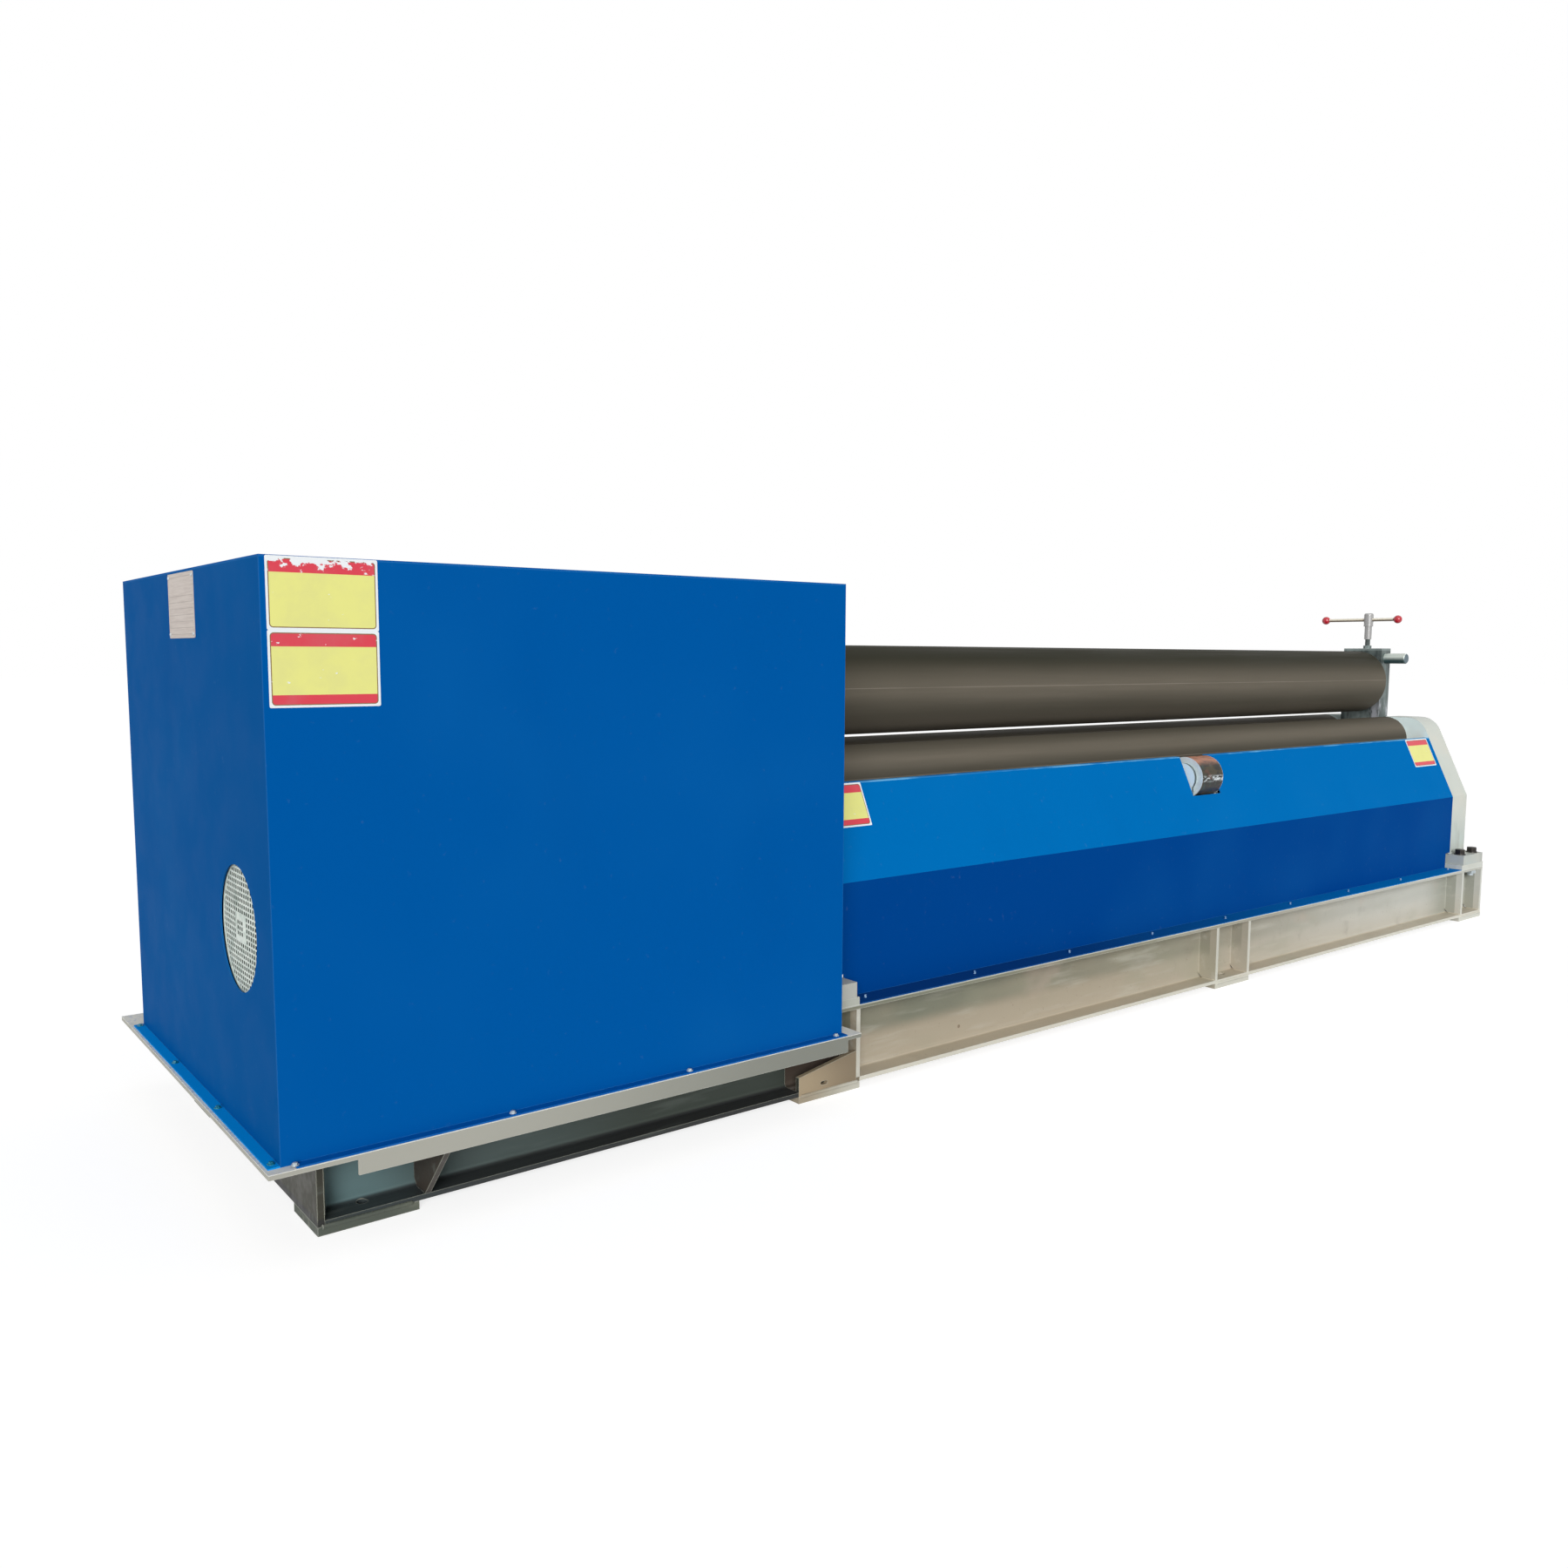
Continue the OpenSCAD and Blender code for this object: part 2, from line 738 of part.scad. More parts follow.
module front_lower_journals() {
    through = roll_end_gap + frame_t;
    color(bright_steel) translate([0, -roll_y, low_roll_z])
        journals(low_journal_d, through + journal_reach, through - play);
}

module rear_lower_journals() { mirror([0, 1, 0]) front_lower_journals(); }

module upper_journals() {
    right_reach = block_x + block_t / 2 - play - (barrel_x + roll_l);
    color(bright_steel) translate([0, 0, top_roll_z])
        journals(top_journal_d, roll_end_gap + frame_t + journal_reach, right_reach);
}

// ---- upper roll bearings ----

module left_bearing_block() {
    color(dark_steel) along_x(x_left - frame_t / 2, frame_t) difference() {
        translate([-block_half, left_block_z]) square([block_w, left_block_h]);
        translate([0, top_roll_z]) circle(d = top_journal_d + 2 * bearing_gap);
    }
}

module lift_screws() {
    color(bright_steel) {
        translate([x_left, 0, screw_foot_z])
            cylinder(d = lift_screw_d, h = left_block_z - screw_foot_z);
        translate([screw_x, 0, screw_foot_z])
            cylinder(d = lift_screw_d, h = carriage_z0 - screw_foot_z);
    }
}

// A round-ended outline around the hinge pin, seen along Y, down or up to a height.
module hinge_end(to_z) {
    translate([0, hinge_z]) circle(ear_r);
    translate([-ear_r, min(hinge_z, to_z)]) square([block_t, abs(to_z - hinge_z)]);
}

// Draws its outline, given in X from the block's middle and Z, across the machine.
module across_y(y0, width) {
    translate([block_x, y0 + width, 0]) rotate([90, 0, 0]) linear_extrude(width) children();
}

// The sliding block on the right lifting screw; its two ears hold the hinge pin.
module tip_carriage() {
    saddle = hinge_z - ear_r - play;
    ear_w = block_half - tongue_half_w - cut;
    base_l = screw_x + lift_screw_d - (block_x - ear_r);
    color(dark_steel) difference() {
        union() {
            translate([block_x - ear_r, -block_half, carriage_z0])
                cube([base_l, block_w, saddle - carriage_z0]);
            both_sides() across_y(-block_half, ear_w) hinge_end(saddle);
        }
        across_y(-block_half - cut, block_w + 2 * cut) translate([0, hinge_z]) circle(d = hinge_d);
    }
}

module hinge_pin() {
    color(bright_steel) across_y(-block_half, block_w) translate([0, hinge_z]) circle(d = hinge_d);
}

// The bearing of the upper roll's right journal, which tips outwards about the hinge pin.
module tipping_bearing() {
    shoulder = hinge_z + ear_r + play;
    color(dark_steel) difference() {
        union() {
            across_y(-tongue_half_w, 2 * tongue_half_w) hinge_end(shoulder);
            translate([block_x - ear_r, -block_half, shoulder])
                cube([block_t, block_w, block_top_z - shoulder]);
        }
        across_y(-tongue_half_w - cut, 2 * tongue_half_w + 2 * cut)
            translate([0, hinge_z]) circle(d = hinge_d + 2 * bearing_gap);
        translate([0, 0, top_roll_z])
            bar_x(block_x - ear_r - cut, block_t + 2 * cut, top_journal_d + 2 * tip_gap);
        translate([block_x, 0, block_top_z - 2 * screw_d])
            cylinder(d = screw_d + 2 * bearing_gap, h = 2 * screw_d + cut);
    }
}

module pull_bar() {
    plain_l = pull_bar_l - pull_bar_chamfer;
    color(bright_steel) translate([block_x, -block_half, block_top_z - pull_bar_d])
        rotate([90, 0, 0]) {
            cylinder(d = pull_bar_d, h = plain_l);
            translate([0, 0, plain_l]) cylinder(
                d1 = pull_bar_d, d2 = pull_bar_d - 2 * pull_bar_chamfer, h = pull_bar_chamfer
            );
        }
}

module lock_nut() {
    color(dark_steel) translate([block_x, 0, block_top_z]) difference() {
        cylinder(d = sleeve_d + 4, h = nut_h, $fn = 6);
        translate([0, 0, -cut]) cylinder(d = screw_d + 2 * bearing_gap, h = nut_h + 2 * cut);
    }
}

// Half the section of the clamp screw's hub: round at its top, with a groove above its collar.
module hub_half() {
    half = hub_d / 2;
    difference() {
        union() {
            square([half, hub_h - hub_r]);
            square([half - hub_r, hub_h]);
            translate([half - hub_r, hub_h - hub_r]) circle(hub_r);
        }
        translate([-half, -cut]) square([half, hub_h + 2 * cut]);
        translate([half - hub_groove, hub_collar]) square([hub_d, 2 * hub_groove]);
    }
}

// The clamp screw with its plain sleeve and cross-drilled hub.
module clamp_screw() {
    hub_z = cross_bar_z - hub_h / 2;
    tip_z = block_top_z - 2 * screw_d + play;
    color(bright_steel) translate([block_x, 0, 0]) difference() {
        union() {
            translate([0, 0, tip_z]) cylinder(d = screw_d, h = sleeve_z - tip_z);
            translate([0, 0, sleeve_z]) cylinder(d = sleeve_d, h = hub_z - sleeve_z);
            translate([0, 0, hub_z]) rotate_extrude() hub_half();
        }
        translate([0, hub_d, cross_bar_z]) rotate([90, 0, 0])
            cylinder(d = cross_bar_d + 2 * bearing_gap, h = 2 * hub_d);
    }
}

module cross_bar() {
    half = (cross_bar_l - knob_d) / 2;
    color(bright_steel) translate([block_x, cross_bar_shift + half, cross_bar_z])
        rotate([90, 0, 0]) cylinder(d = cross_bar_d, h = 2 * half);
}

module ball_knobs() {
    color([0.75, 0.1, 0.15]) for (side = [-1, 1])
        translate([block_x, cross_bar_shift + side * cross_bar_l / 2, cross_bar_z])
            rotate([90, 0, 0]) sphere(d = knob_d);
}

foot_pads();
bed_rail_front();
bed_rail_rear();
drive_rail_front();
drive_rail_rear();
drive_end_beam();
cross_beams();
rail_stiffeners();
gusset_plates();
deck_plate();
packing_plates();
left_frame();
right_frame();
bearing_caps();
front_cover();
rear_cover();
centre_pedestal();
support_brackets();
support_axles();
front_support_roller();
rear_support_roller();
housing_front();
housing_rear();
housing_left_end();
housing_right_end();
housing_top();
motor();
motor_fan_cover();
motor_stand();
front_lower_roll();
front_lower_journals();
rear_lower_roll();
rear_lower_journals();
upper_roll();
upper_journals();
left_bearing_block();
lift_screws();
tip_carriage();
hinge_pin();
tipping_bearing();
pull_bar();
lock_nut();
clamp_screw();
cross_bar();
ball_knobs();
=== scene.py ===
import math
import random

import bmesh
import bpy
from bpy.props import FloatProperty, FloatVectorProperty, IntProperty, PointerProperty
from mathutils import Euler, Matrix, Vector


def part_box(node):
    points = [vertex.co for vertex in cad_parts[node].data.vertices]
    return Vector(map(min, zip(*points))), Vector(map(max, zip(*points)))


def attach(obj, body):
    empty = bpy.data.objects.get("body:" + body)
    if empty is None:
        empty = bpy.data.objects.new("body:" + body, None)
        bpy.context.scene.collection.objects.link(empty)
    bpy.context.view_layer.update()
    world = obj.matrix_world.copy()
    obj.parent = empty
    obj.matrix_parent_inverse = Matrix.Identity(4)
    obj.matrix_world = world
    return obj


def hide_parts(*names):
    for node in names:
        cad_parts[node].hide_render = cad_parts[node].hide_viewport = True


bl_info = {
    "name": "Plate Rolling Machine",
    "version": (1, 0, 0),
    "blender": (4, 5, 0),
    "location": "View3D > Sidebar > Rolls",
    "description": "Finishes, fixings, labels and welds of a three-roll plate bender, with its studio",
    "category": "Object",
}

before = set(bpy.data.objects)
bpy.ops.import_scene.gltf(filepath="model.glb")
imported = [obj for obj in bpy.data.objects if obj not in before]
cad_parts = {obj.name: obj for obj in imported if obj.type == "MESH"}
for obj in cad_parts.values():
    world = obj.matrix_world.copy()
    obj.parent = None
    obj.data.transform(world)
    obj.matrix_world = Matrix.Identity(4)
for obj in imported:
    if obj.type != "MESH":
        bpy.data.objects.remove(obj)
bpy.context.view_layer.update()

MM = 0.001
TURN = 2 * math.pi
X, Y, Z = Vector((1, 0, 0)), Vector((0, 1, 0)), Vector((0, 0, 1))
SHEET = 3 * MM  # thickness of the covers' and the housing's sheet
TOE = 11 * MM  # thickness of the bed channels' flanges
SLEEVE_RISE = 40 * MM  # from the tipping bearing's top up to the clamp screw's sleeve


# ---- places that the frame gives ----


def low(node):
    """The lowest corner of a node."""
    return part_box(node)[0]


def high(node):
    """The highest corner of a node."""
    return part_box(node)[1]


def middle(node):
    """The middle of a node's box."""
    return (low(node) + high(node)) / 2


def outermost(node, start, end):
    """How far a node reaches towards the working side, between two heights."""
    return min(v.co.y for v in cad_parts[node].data.vertices if start < v.co.z < end)


HOUSE_LOW, HOUSE_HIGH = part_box("housing_top")
HOUSE_FLOOR = high("deck_plate").z
RAIL_TOP = high("bed_rail_front").z
BED_HALF = high("bed_rail_rear").y
COVER_LOW, COVER_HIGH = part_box("front_cover")
RIGHT_FRAME = middle("right_frame")
LEFT_FRAME = middle("left_frame")
FOOT_TOP = high("packing_plates").z + 40 * MM
PAD_TOP = high("foot_pads").z
COVER_FACE = outermost("front_cover", RAIL_TOP + 4 * MM, 1)
FRAME_FACE = outermost("right_frame", FOOT_TOP + MM, 1)
SLEEVE_FOOT = high("tipping_bearing").z + SLEEVE_RISE


def slope_places():
    """The fold and the top edge of the working side's cover, seen from the end."""
    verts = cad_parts["front_cover"].data.vertices
    ridge = {(round(v.co.z, 4), round(v.co.y, 4)) for v in verts}
    fold = max(z for z, y in ridge if abs(y - COVER_FACE) < MM)
    top_z = COVER_HIGH.z
    top_y = min(y for z, y in ridge if abs(z - top_z) < 0.2 * MM)
    return Vector((0, COVER_FACE, fold)), Vector((0, top_y, top_z))


# ---- settings ----


def from_srgb(red, green, blue):
    """A colour given by its screen levels of 0 to 255, as the shaders take it."""

    def to_linear(level):
        part = level / 255
        return part / 12.92 if part <= 0.04045 else ((part + 0.055) / 1.055) ** 2.4

    return tuple(to_linear(level) for level in (red, green, blue))


def length_setting(name, description, millimetres):
    """A length that shows in the sidebar."""
    return FloatProperty(
        name=name, description=description, default=millimetres * MM, min=0, unit="LENGTH"
    )


def count_setting(name, description, default):
    """A whole number that shows in the sidebar."""
    return IntProperty(name=name, description=description, default=default, min=1)


def angle_setting(name, description, degrees):
    """An angle that shows in the sidebar."""
    return FloatProperty(
        name=name, description=description, default=math.radians(degrees), subtype="ANGLE"
    )


def colour_setting(name, description, *levels):
    """A colour that shows in the sidebar."""
    return FloatVectorProperty(
        name=name, description=description, default=from_srgb(*levels), subtype="COLOR", min=0, max=1
    )


class RollPaints(bpy.types.PropertyGroup):
    """Colours of the paints, the steels and the printed labels."""

    housing: colour_setting("Housing", "Enamel on the drive housing", 0, 86, 161)
    # A darker copy of the housing's blue for the end walls: painted shade
    shaded_housing_end: colour_setting("Housing end", "Enamel on the housing's end walls", 0, 84, 152)
    # The covers' slope and upright blues are one enamel, made lighter and darker: painted light and painted
    # shade
    lit_cover_slope: colour_setting("Cover slope", "Enamel on the covers' sloping faces", 0, 108, 181)
    shaded_cover_upright: colour_setting("Cover upright", "Enamel on the covers' upright faces", 0, 66, 140)
    foot_flange: colour_setting("Foot flange", "Enamel on the sheets' foot flanges", 0, 88, 166)
    bed: colour_setting("Bed", "Primer on the bed", 162, 151, 131)
    bed_pale: colour_setting("Bed, pale", "Primer where it is rubbed pale", 196, 197, 190)
    # Darker primer of the drive rails, partly painted shade under the deck
    bed_dark_and_shaded: colour_setting("Bed, dark", "Primer below the deck", 84, 96, 94)
    frames: colour_setting("Frames", "Paint on the end frames", 200, 205, 197)
    deck: colour_setting("Deck", "Paint on the deck plate", 224, 224, 216)
    roll_film: colour_setting("Roll film", "Rust-preventing film on the rolls", 102, 96, 85)
    mill_scale: colour_setting("Mill scale", "Scale on the support rollers", 44, 44, 41)
    turned: colour_setting("Turned steel", "Bright turned steel", 176, 180, 176)
    oiled: colour_setting("Oiled steel", "Oiled dark steel of the bearings", 104, 116, 114)
    blacked: colour_setting("Blacked steel", "Blacked bolts", 40, 36, 33)
    knob: colour_setting("Knob", "Plastic of the ball knobs", 186, 24, 44)
    label_head: colour_setting("Label head", "Print of a label's head and foot", 216, 64, 80)
    label_field: colour_setting("Label field", "Print of a label's field", 230, 229, 136)
    label_base: colour_setting("Label base", "Vinyl of a label", 232, 238, 240)
    plate_metal: colour_setting("Nameplate", "Etched metal of the nameplate", 206, 196, 188)


class RollFixings(bpy.types.PropertyGroup):
    """Sizes and numbers of the screws, bolts and welds."""

    screw_flats: length_setting("Screw flats", "Across the flats of a sheet screw's head", 8)
    screw_head: length_setting("Screw head", "Height of a sheet screw's head", 5)
    screw_washer: length_setting("Screw washer", "Diameter of a sheet screw's washer", 14)
    house_screws: count_setting("Housing screws", "Screws along a long foot flange", 4)
    end_screws: count_setting("End screws", "Screws along the end's foot flange", 4)
    cover_screws: count_setting("Cover screws", "Screws along a cover's foot flange", 9)
    bolt_flats: length_setting("Bolt flats", "Across the flats of a frame bolt's head", 36)
    bolt_head: length_setting("Bolt head", "Height of a frame bolt's head", 22)
    bolt_spread: length_setting("Bolt spread", "From a frame's middle to a bolt", 55)
    bolt_inset: length_setting("Bolt inset", "From a toe's end to its bolts", 31)
    bead: length_setting("Weld bead", "Radius of a weld bead", 5)
    ripple: length_setting("Weld ripple", "Distance between a weld's ripples", 6)


class RollLabels(bpy.types.PropertyGroup):
    """Sizes of the labels, the nameplate and the fan cover's grille."""

    width: length_setting("Label width", "Width of a label on the housing", 195)
    upper: length_setting("Upper label", "Height of the upper label", 127)
    lower: length_setting("Lower label", "Height of the lower label", 134)
    slope_width: length_setting("Cover label", "Width of a label on the cover", 184)
    slope_height: length_setting("Cover label height", "Length of a cover label down the slope", 122)
    plate_width: length_setting("Nameplate width", "Width of the nameplate", 206)
    plate_height: length_setting("Nameplate height", "Height of the nameplate", 132)
    slot_pitch: length_setting("Slot pitch", "Distance between slots along a row", 13)
    row_pitch: length_setting("Row pitch", "Distance between rows of slots", 10.7)


class RollStudio(bpy.types.PropertyGroup):
    """The camera and the light of the studio."""

    place: FloatVectorProperty(
        name="Camera", description="Place of the camera", default=(-3.195, -2.802, 1.100), unit="LENGTH"
    )
    azimuth: angle_setting("Azimuth", "Heading of the view, clockwise from the rear", 38.245)
    pitch: angle_setting("Pitch", "Fall of the view", 5.81)
    roll: angle_setting("Roll", "Lean of the view", 0.28)
    lens: FloatProperty(name="Lens", description="Focal length on a 36 mm sensor", default=28.915)
    key: FloatProperty(name="Key", description="Strength of the key lamp", default=0.80)
    top: FloatProperty(name="Top", description="Strength of the lamp above", default=0.15)
    ambient: FloatProperty(name="Ambient", description="Strength of the room's light", default=0.46)


SETTINGS = {
    "roll_paints": RollPaints,
    "roll_fixings": RollFixings,
    "roll_labels": RollLabels,
    "roll_studio": RollStudio,
}


# ---- shader maths ----


class Wire:
    """An output of a shader's node, for use in expressions."""

    def __init__(self, shader, socket):
        self.shader = shader
        self.socket = socket

    def maths(self, operation, *values):
        return self.shader.node("ShaderNodeMath", {"operation": operation}, dict(enumerate(values)))

    def __add__(self, other):
        return self.maths("ADD", self, other)

    def __sub__(self, other):
        return self.maths("SUBTRACT", self, other)

    def __rsub__(self, other):
        return self.maths("SUBTRACT", other, self)

    def __mul__(self, other):
        return self.maths("MULTIPLY", self, other)

    def __truediv__(self, other):
        return self.maths("DIVIDE", self, other)

    def __gt__(self, other):
        return self.maths("GREATER_THAN", self, other)

    def __lt__(self, other):
        return self.maths("LESS_THAN", self, other)

    def __abs__(self):
        return self.maths("ABSOLUTE", self)

    def larger(self, other):
        return self.maths("MAXIMUM", self, other)

    def smaller(self, other):
        return self.maths("MINIMUM", self, other)

    def fraction(self):
        return self.maths("FRACT", self)

    def root(self):
        return self.maths("SQRT", self)

    def between(self, start, end, low=0.0, high=1.0):
        """0 below start and 1 above end, or other ends, with a soft rise."""
        values = dict(enumerate((self, start, end, low, high)))
        return self.shader.node("ShaderNodeMapRange", {"interpolation_type": "SMOOTHSTEP"}, values)

    def levels(self, low, high):
        """A noise's middle range, as numbers from low to high."""
        return self.between(0.3, 0.7, low, high)

    __radd__ = __add__
    __rmul__ = __mul__


class Shader:
    """A material or world under construction. Its places are in the coordinates named."""

    def __init__(self, owner, coordinates="Object"):
        owner.use_nodes = True
        self.owner = owner
        self.tree = owner.node_tree
        self.tree.nodes.clear()
        self.coordinates = coordinates
        self.place = None

    def node(self, kind, settings=None, values=None, output=0):
        """Adds a node, sets it up and then fills its sockets with values or wires."""
        made = self.tree.nodes.new(kind)
        for name, setting in (settings or {}).items():
            setattr(made, name, setting)
        for name, value in (values or {}).items():
            if isinstance(value, Wire):
                self.tree.links.new(value.socket, made.inputs[name])
            else:
                made.inputs[name].default_value = value
        return Wire(self, made.outputs[output]) if made.outputs else None

    def position(self):
        """The place, from one node for the whole tree."""
        self.place = self.place or self.node("ShaderNodeTexCoord", output=self.coordinates)
        return self.place

    def parts(self, wire, *names):
        """Other outputs of a wire's node."""
        return [Wire(self, wire.socket.node.outputs[name]) for name in names]

    def axes(self):
        """The place as three numbers."""
        return self.parts(self.node("ShaderNodeSeparateXYZ", values={0: self.position()}), 0, 1, 2)

    def noise(self, scale, stretch=(1, 1, 1), detail=3.0, roughness=0.55):
        """Cloudy noise about 0.5, with its grain drawn out along an axis of small stretch."""
        multiply = {"operation": "MULTIPLY"}
        scaled = self.node("ShaderNodeVectorMath", multiply, {0: self.position(), 1: stretch})
        values = {"Vector": scaled, "Scale": scale, "Detail": detail, "Roughness": roughness}
        return self.node("ShaderNodeTexNoise", values=values, output="Fac")

    def mix(self, amount, first, second):
        """Blends two colours."""
        first, second = (c if isinstance(c, Wire) else (*c[:3], 1) for c in (first, second))
        return self.node("ShaderNodeMix", {"data_type": "RGBA"}, {0: amount, 6: first, 7: second}, 2)

    def coats(self, tone, **coats):
        """Lays coats on a tone, each given as its amount and its screen levels or a wire."""
        for name, (amount, colour) in coats.items():
            tone = self.mix(amount, tone, colour if isinstance(colour, Wire) else from_srgb(*colour))
            tone.socket.node.label = name
        return tone

    def edges(self, radius):
        """1 along sharp edges, within a radius of them."""
        rounded = self.node("ShaderNodeBevel", {"samples": 4}, {"Radius": radius})
        flat = self.node("ShaderNodeNewGeometry", output="Normal")
        dot = {"operation": "DOT_PRODUCT"}
        along = self.node("ShaderNodeVectorMath", dot, {0: rounded, 1: flat}, "Value")
        return (1 - along).between(0.01, 0.12)

    def seen(self):
        """1 for what the camera sees, straight or in gloss or glass."""
        path = self.node("ShaderNodeLightPath")
        rays = self.parts(path, "Is Camera Ray", "Is Glossy Ray", "Is Transmission Ray")
        return (rays[0] + rays[1] + rays[2]).smaller(1)

    def finish(self, tone, rough, relief, depth, strength=0.4, **sockets):
        """Ends the material in one surface shader, bumped to a depth in millimetres.

        Names of further sockets have spaces for underscores.
        """
        bump = {"Height": relief, "Distance": depth * MM, "Strength": strength}
        values = {name.replace("_", " "): value for name, value in sockets.items()}
        values |= {"Base Color": tone, "Roughness": rough, "Normal": self.node("ShaderNodeBump", values=bump)}
        surface = self.node("ShaderNodeBsdfPrincipled", values=values)
        self.node("ShaderNodeOutputMaterial", values={"Surface": surface})
        return self.owner


def new_shader(name):
    """A shader for a new material."""
    return Shader(bpy.data.materials.new(name))


def paints():
    """The paint settings."""
    return bpy.context.scene.roll_paints


# ---- materials ----


def enamel(name, tone_of):
    """Blue enamel sprayed on sheet steel, in the colour that tone_of gives for a shader."""
    shader = new_shader(name)
    noise = shader.noise
    tone = shader.coats(
        tone_of(shader),
        pale=(noise(1.4, detail=2.0).between(0.45, 0.8, 0, 0.10), (40, 126, 190)),
        deep=(noise(3.1, (1, 1, 0.4)).between(0.5, 0.9, 0, 0.12), (0, 60, 128)),
        dust=(noise(60.0, detail=5.0).between(0.62, 0.8, 0, 0.05), (150, 170, 185)),
        worn=(shader.edges(2.5 * MM) * 0.35, (70, 140, 200)),
    )
    peel = noise(260.0, detail=2.0)
    return shader.finish(tone, noise(9.0).levels(0.46, 0.56), peel, 0.12, 0.35, Specular_IOR_Level=0.004)


def housing_enamel():
    """Enamel of the long walls and the top, with a brighter foot flange."""

    def tone(shader):
        flange = abs(shader.axes()[1]) > HOUSE_HIGH.y + 0.5 * MM
        return shader.mix(flange, paints().housing, paints().foot_flange)

    return enamel("housing_enamel", tone)


def housing_end_enamel():
    """Enamel of the end walls, in a darker copy of the housing's blue as painted shade, with a foot flange
    made bright as painted light.
    """

    def tone(shader):
        flange = shader.axes()[0] < HOUSE_LOW.x - 0.5 * MM
        # Painted shade in the end walls' darker blue; painted light in the foot flange's bright blue
        return shader.coats(paints().shaded_housing_end, flange=(flange, (0, 146, 226)))

    return enamel("housing_end_enamel", tone)


def cover_enamel():
    """Enamel of a cover, with its own blues for the slope, the upright face, the foot flange and the hem. The
    slope's lighter blue is painted light and the upright face's darker blue is painted shade, on one enamel;
    the hem's pale line is a painted highlight.
    """
    fold = slope_places()[0].z

    def tone(shader):
        x, y, z = shader.axes()
        along = x.between(COVER_LOW.x + 0.6, COVER_HIGH.x - 0.4)
        foot = shader.mix(along, from_srgb(10, 62, 126), from_srgb(0, 116, 190))
        # Painted highlight along the cover's top hem, in pale blue
        hem_highlight = shader.noise(16.0, (0.3, 1, 1)).between(0.4, 0.6, 0.1, 0.7)
        return shader.coats(
            # Painted light on the slope and painted shade on the upright face, split at the fold
            shader.mix(z > fold, paints().shaded_cover_upright, paints().lit_cover_slope),
            foot=((abs(y) > 0.5 * MM - COVER_FACE) * (z < fold), foot),
            hem=(hem_highlight * (z > COVER_HIGH.z - 3.5 * MM), (120, 190, 230)),
        )

    return enamel("cover_enamel", tone)


def bed_primer():
    """Thin primer on hot-rolled channel, with rubbed and oily patches. It is dark at the drive end, as
    painted shade under the deck.
    It also carries painted shade under the deck and on the upper web, painted light low down and painted
    highlights along edges.
    """
    shader = new_shader("bed_primer")
    noise = shader.noise
    x, y, z = shader.axes()
    outer = abs(y) - BED_HALF
    web = outer < -25 * MM
    above_pad = z > PAD_TOP + 0.5 * MM
    past_frame = x > LEFT_FRAME.x + 100 * MM
    # Painted shade on the bed's faces under the deck's overhang
    under_deck = above_pad * (z < HOUSE_FLOOR) * (x < LEFT_FRAME.x + 86 * MM) * (outer < -12 * MM)
    below_cover = z.between(RAIL_TOP - 125 * MM, RAIL_TOP - 85 * MM)
    fading = x.between(-1.1, 1.6, 0.85, 0.15) * (x > LEFT_FRAME.x)
    cloud = noise(5.0, (0.4, 1, 1)).between(0.25, 0.6, 0.6, 1)
    edge_on = (z > RAIL_TOP - 12 * MM).larger(web)
    near_foot = x.between(RIGHT_FRAME.x - 0.32, RIGHT_FRAME.x - 0.1, 0, 0.6)
    across, up = x - (LEFT_FRAME.x + 0.53), z - 67 * MM
    mark = ((across * across + up * up).root() < 5 * MM) * 0.6
    # Painted highlight along the rails' flange edges and the stiffeners' front edges
    edge_face = (outer > -1.2 * MM) * (z < RAIL_TOP - 12 * MM)
    lip = (z > RAIL_TOP - 3 * MM).larger(edge_face) * x.between(-1.3, -1.1)
    streak = noise(30.0, (0.12, 1, 1), 5.0)
    tone = shader.coats(
        shader.mix(x.between(-0.2, 2.2), paints().bed, paints().bed_pale),
        under_deck=(under_deck * 0.9, (66, 54, 50)),
        # Painted shade at the drive end, under the deck's overhang
        sooty=(x.between(-2.0, -2.2), (84, 90, 82)),
        # Painted light: paler low on the bed, standing for light thrown up from the floor
        dusty=(z.between(0.15, 0.03, 0, 0.4) * past_frame, (198, 188, 170)),
        shadow=(below_cover * fading * cloud * edge_on, (112, 117, 102)),
        footed=(near_foot * web, (140, 143, 130)),
        # Painted light: the bottom flange's upward face made paler
        ledge=(above_pad * (z < 32 * MM) * past_frame * 0.6, (206, 194, 172)),
        olive=(noise(2.6, (1, 1, 2)).between(0.5, 0.72, 0, 0.35), (150, 152, 130)),
        pink=(noise(4.3, (1, 1, 1.4)).between(0.58, 0.78, 0, 0.3), (194, 172, 158)),
        rubbed=(streak.between(0.5, 0.75, 0, 0.3), (206, 204, 192)),
        grime=(noise(12.0, detail=6.0).between(0.58, 0.85, 0, 0.3), (104, 98, 84)),
        spots=(noise(150.0, detail=2.0).between(0.7, 0.76, 0, 0.5).larger(mark), (106, 84, 64)),
        lip=(lip * 0.45, (224, 228, 220)),
        worn=(shader.edges(3 * MM) * 0.45, (222, 222, 212)),
    )
    relief = noise(90.0, detail=6.0) + streak * 0.6
    return shader.finish(tone, noise(7.0).levels(0.45, 0.68), relief, 0.5, 0.5, Specular_IOR_Level=0.2)


